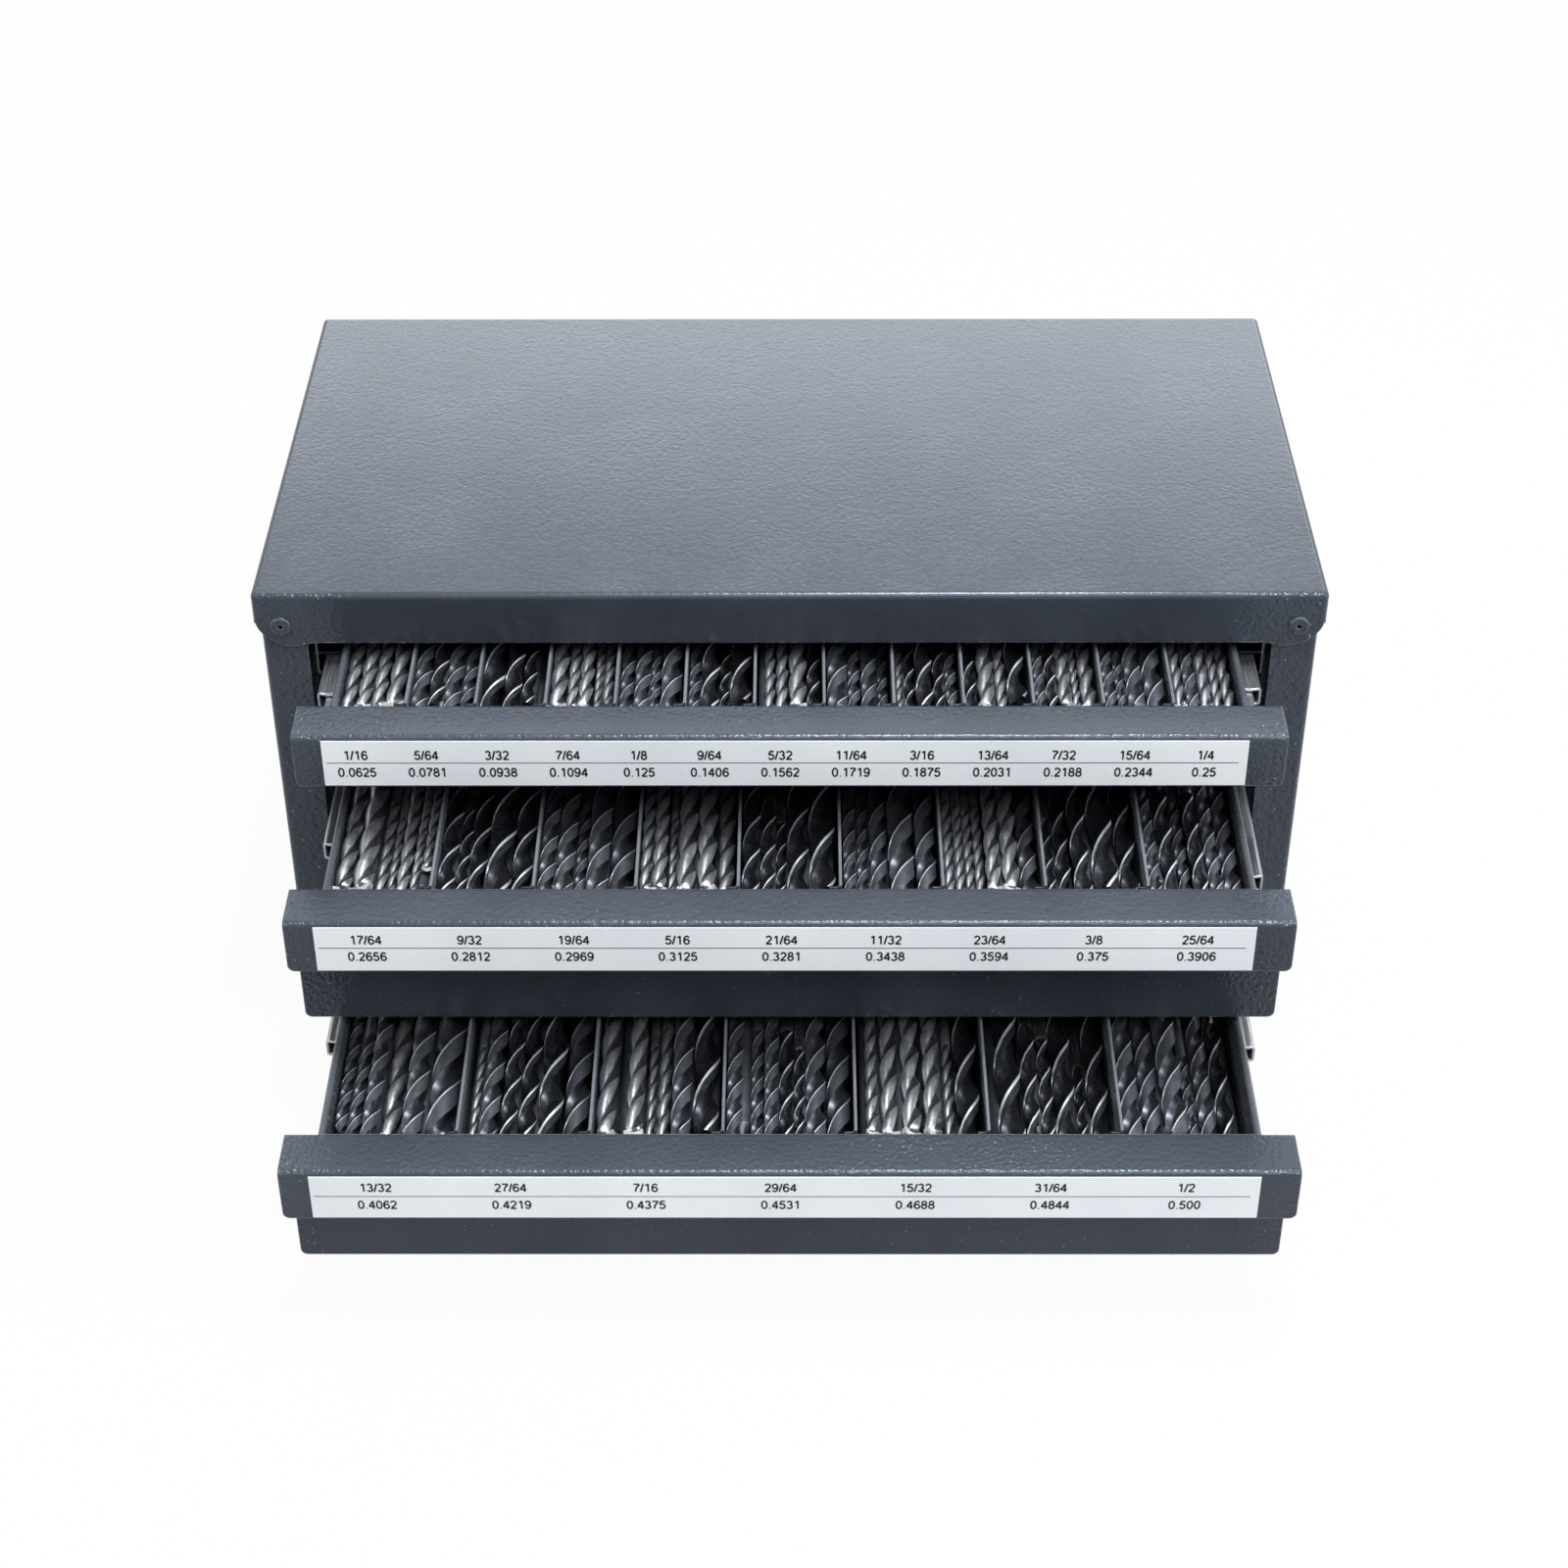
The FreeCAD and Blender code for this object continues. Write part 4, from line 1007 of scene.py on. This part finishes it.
def fill_compartment(box, text, lower_diameter, rng):
    """All the rods and bits of one compartment, their faces' finishes and the plates."""
    top_row = read_plan(text)
    bits = [(kind, back) for kind, _, back in top_row if kind]
    _, lower_count, circles = fill(box, top_row, lower_diameter, rng)
    parts, finishes, plates = [], [], []
    for index, (x, z, radius) in enumerate(circles):
        place = box[0] + (x, FRONT_ROOM, z)
        if index < lower_count:
            part, marks = laid_rod(radius, place, rng)
        else:
            kind, back = bits[index - lower_count]
            at_tab = box[1, 0] - box[0, 0] - x < TAB_REACH
            place[1] += back + (TAB_ROOM if at_tab else 0.0)
            part, marks, own_plates = laid_bit(kind, radius, place, rng)
            plates += own_plates
        parts.append(part)
        finishes += marks
    return parts, finishes, plates


total = 0
for number, boxes in DRAWERS.items():
    plates = []
    for order, (box, text) in enumerate(zip(boxes, FILLING[number])):
        rng = np.random.default_rng(SEED_PER_DRAWER * number + order)
        parts, finishes, own_plates = fill_compartment(box, text, LOWER_DIAMETER[number], rng)
        plates += own_plates
        vertices, faces = joined(parts)
        name = "drawer_%d_bits_%02d" % (number, order + 1)
        piece = new_piece(name, vertices, faces, BIT_FINISHES, finishes)
        piece.data.polygons.foreach_set("use_smooth", np.ones(len(faces), dtype=bool))
        piece.data.set_sharp_from_angle(angle=SHARP)
        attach(piece, "drawer_%d" % number)
        total += len(faces)
    tips = new_piece("drawer_%d_carbide_tips" % number, *joined(plates), [carbide])
    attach(tips, "drawer_%d" % number)
    print("drawer", number, "filled,", total, "faces so far")

# %% [markdown]
# ## Floor
# The case stands on a plain white floor in a white studio. For the camera, and in reflections,
# the floor and the air beyond it are almost pure white, which is what the Light Path node is
# for; the rest of the floor's brightness is its own diffuse colour, so a soft shadow stays.

# %% Floor
FLOOR_HALF, FLOOR_DROP = 4.0, 0.2 * MM
FLOOR_PALE, FLOOR_PALER = (0.50, 0.50, 0.50), (0.515, 0.515, 0.515)
FLOOR_CELL, FLOOR_ROUGH = 0.4, 0.9
WHITE = (1.0, 1.0, 1.0, 1.0)
CAMERA_GLOW, GLOSSY_GLOW = 0.955, 0.40


def ray_share(tree, camera_share, glossy_share):
    """One number for camera rays, another for glossy and transmission rays, 0 for the rest."""
    ray = add_node(tree, "LightPath").outputs
    seen = maths(tree, "MULTIPLY", ray["Is Camera Ray"], camera_share)
    bent = maths(tree, "MAXIMUM", ray["Is Glossy Ray"], ray["Is Transmission Ray"])
    return maths(tree, "MAXIMUM", seen, maths(tree, "MULTIPLY", bent, glossy_share))


floor_paint, tree, shader = new_material("floor_white")
grain = remapped(tree, noise(tree, object_place(tree), FLOOR_CELL), WIDE_RANGE)
set_inputs(tree, shader, [
    ("Base Color", mixed_colour(tree, grain, FLOOR_PALE, FLOOR_PALER)), ("Roughness", FLOOR_ROUGH)])
glow = add_node(tree, "Emission", [("Color", WHITE), ("Strength", 1.0)])
blend = add_node(tree, "MixShader", [
    (0, ray_share(tree, CAMERA_GLOW, GLOSSY_GLOW)),
    (1, shader.outputs["BSDF"]), (2, glow.outputs["Emission"])])
output = next(node for node in tree.nodes if node.type == "OUTPUT_MATERIAL")
tree.links.new(blend.outputs["Shader"], output.inputs["Surface"])

signs = ((-1, -1), (1, -1), (1, 1), (-1, 1))
floor_corners = [(x * FLOOR_HALF, y * FLOOR_HALF, -FLOOR_DROP) for x, y in signs]
floor = new_piece("floor", floor_corners, [(0, 1, 2, 3)], [floor_paint])
print("floor", 2 * FLOOR_HALF, "m across")

# %% [markdown]
# ## Light
# The lamps are soft boxes, as a studio has them. Two stand high behind the case, and the satin
# cover mirrors them. One hangs overhead beside a narrow and far brighter strip, which draws the
# thin highlights on the bits. A wide one in front lights the labels and the tips of the bits,
# and one at each side lights the drawers' ends. A lamp is described by how bright its face
# looks, because that is what a glossy surface shows.

# %% Light
WORLD_LIGHT = 0.12
COOL_WHITE = (0.93, 0.965, 1.0)
LAMP_TARGET = (0.0, -0.1, 0.1)
# name, place, width, height, brightness of the face
LAMPS = (
    ("back_box", (0.18, 2.2, 1.05), 2.1, 0.85, 3.7),
    ("high_back_box", (0.0, 1.3, 1.7), 1.8, 0.8, 1.3),
    ("top_box", (0.3, -0.1, 1.9), 1.2, 1.0, 1.2),
    ("top_strip", (0.15, -0.15, 1.9), 0.8, 0.16, 82.0),
    ("high_front_box", (0.4, -1.3, 1.8), 1.4, 0.8, 6.2),
    ("left_box", (-1.8, -0.6, 1.2), 1.2, 0.9, 4.3),
    ("right_box", (1.8, -0.6, 1.2), 1.2, 0.9, 7.5),
)

world = bpy.data.worlds.new("studio")
world.use_nodes = True
bpy.context.scene.world = world
tree = world.node_tree
tree.nodes.clear()
dim = add_node(tree, "Background", [("Color", (*COOL_WHITE, 1.0)), ("Strength", WORLD_LIGHT)])
white = add_node(tree, "Background", [("Color", WHITE), ("Strength", 1.0)])
blend = add_node(tree, "MixShader", [
    (0, ray_share(tree, 1.0, 1.0)), (1, dim.outputs["Background"]),
    (2, white.outputs["Background"])])
add_node(tree, "OutputWorld", [("Surface", blend.outputs["Shader"])])


def soft_box(name, place, width, height, radiance):
    """A rectangular lamp aimed at the case; its power is brightness times pi times its area."""
    lamp = bpy.data.lights.new(name, "AREA")
    lamp.shape = "RECTANGLE"
    lamp.size, lamp.size_y = width, height
    lamp.energy = radiance * math.pi * width * height
    lamp.color = COOL_WHITE
    box = bpy.data.objects.new(name, lamp)
    box.location = place
    aim = np.array(place) - np.array(LAMP_TARGET)
    away = math.hypot(aim[0], aim[1])
    box.rotation_euler = (math.atan2(away, aim[2]), 0.0, math.atan2(aim[0], -aim[1]))
    box.visible_camera = False
    bpy.context.scene.collection.objects.link(box)
    print("lamp", name, round(lamp.energy, 1), "W")


for lamp_row in LAMPS:
    soft_box(*lamp_row)

# %% [markdown]
# ## View settings
# The Standard view shows colours about as they are written.

# %% Finish
bpy.context.scene.view_settings.view_transform = "Standard"
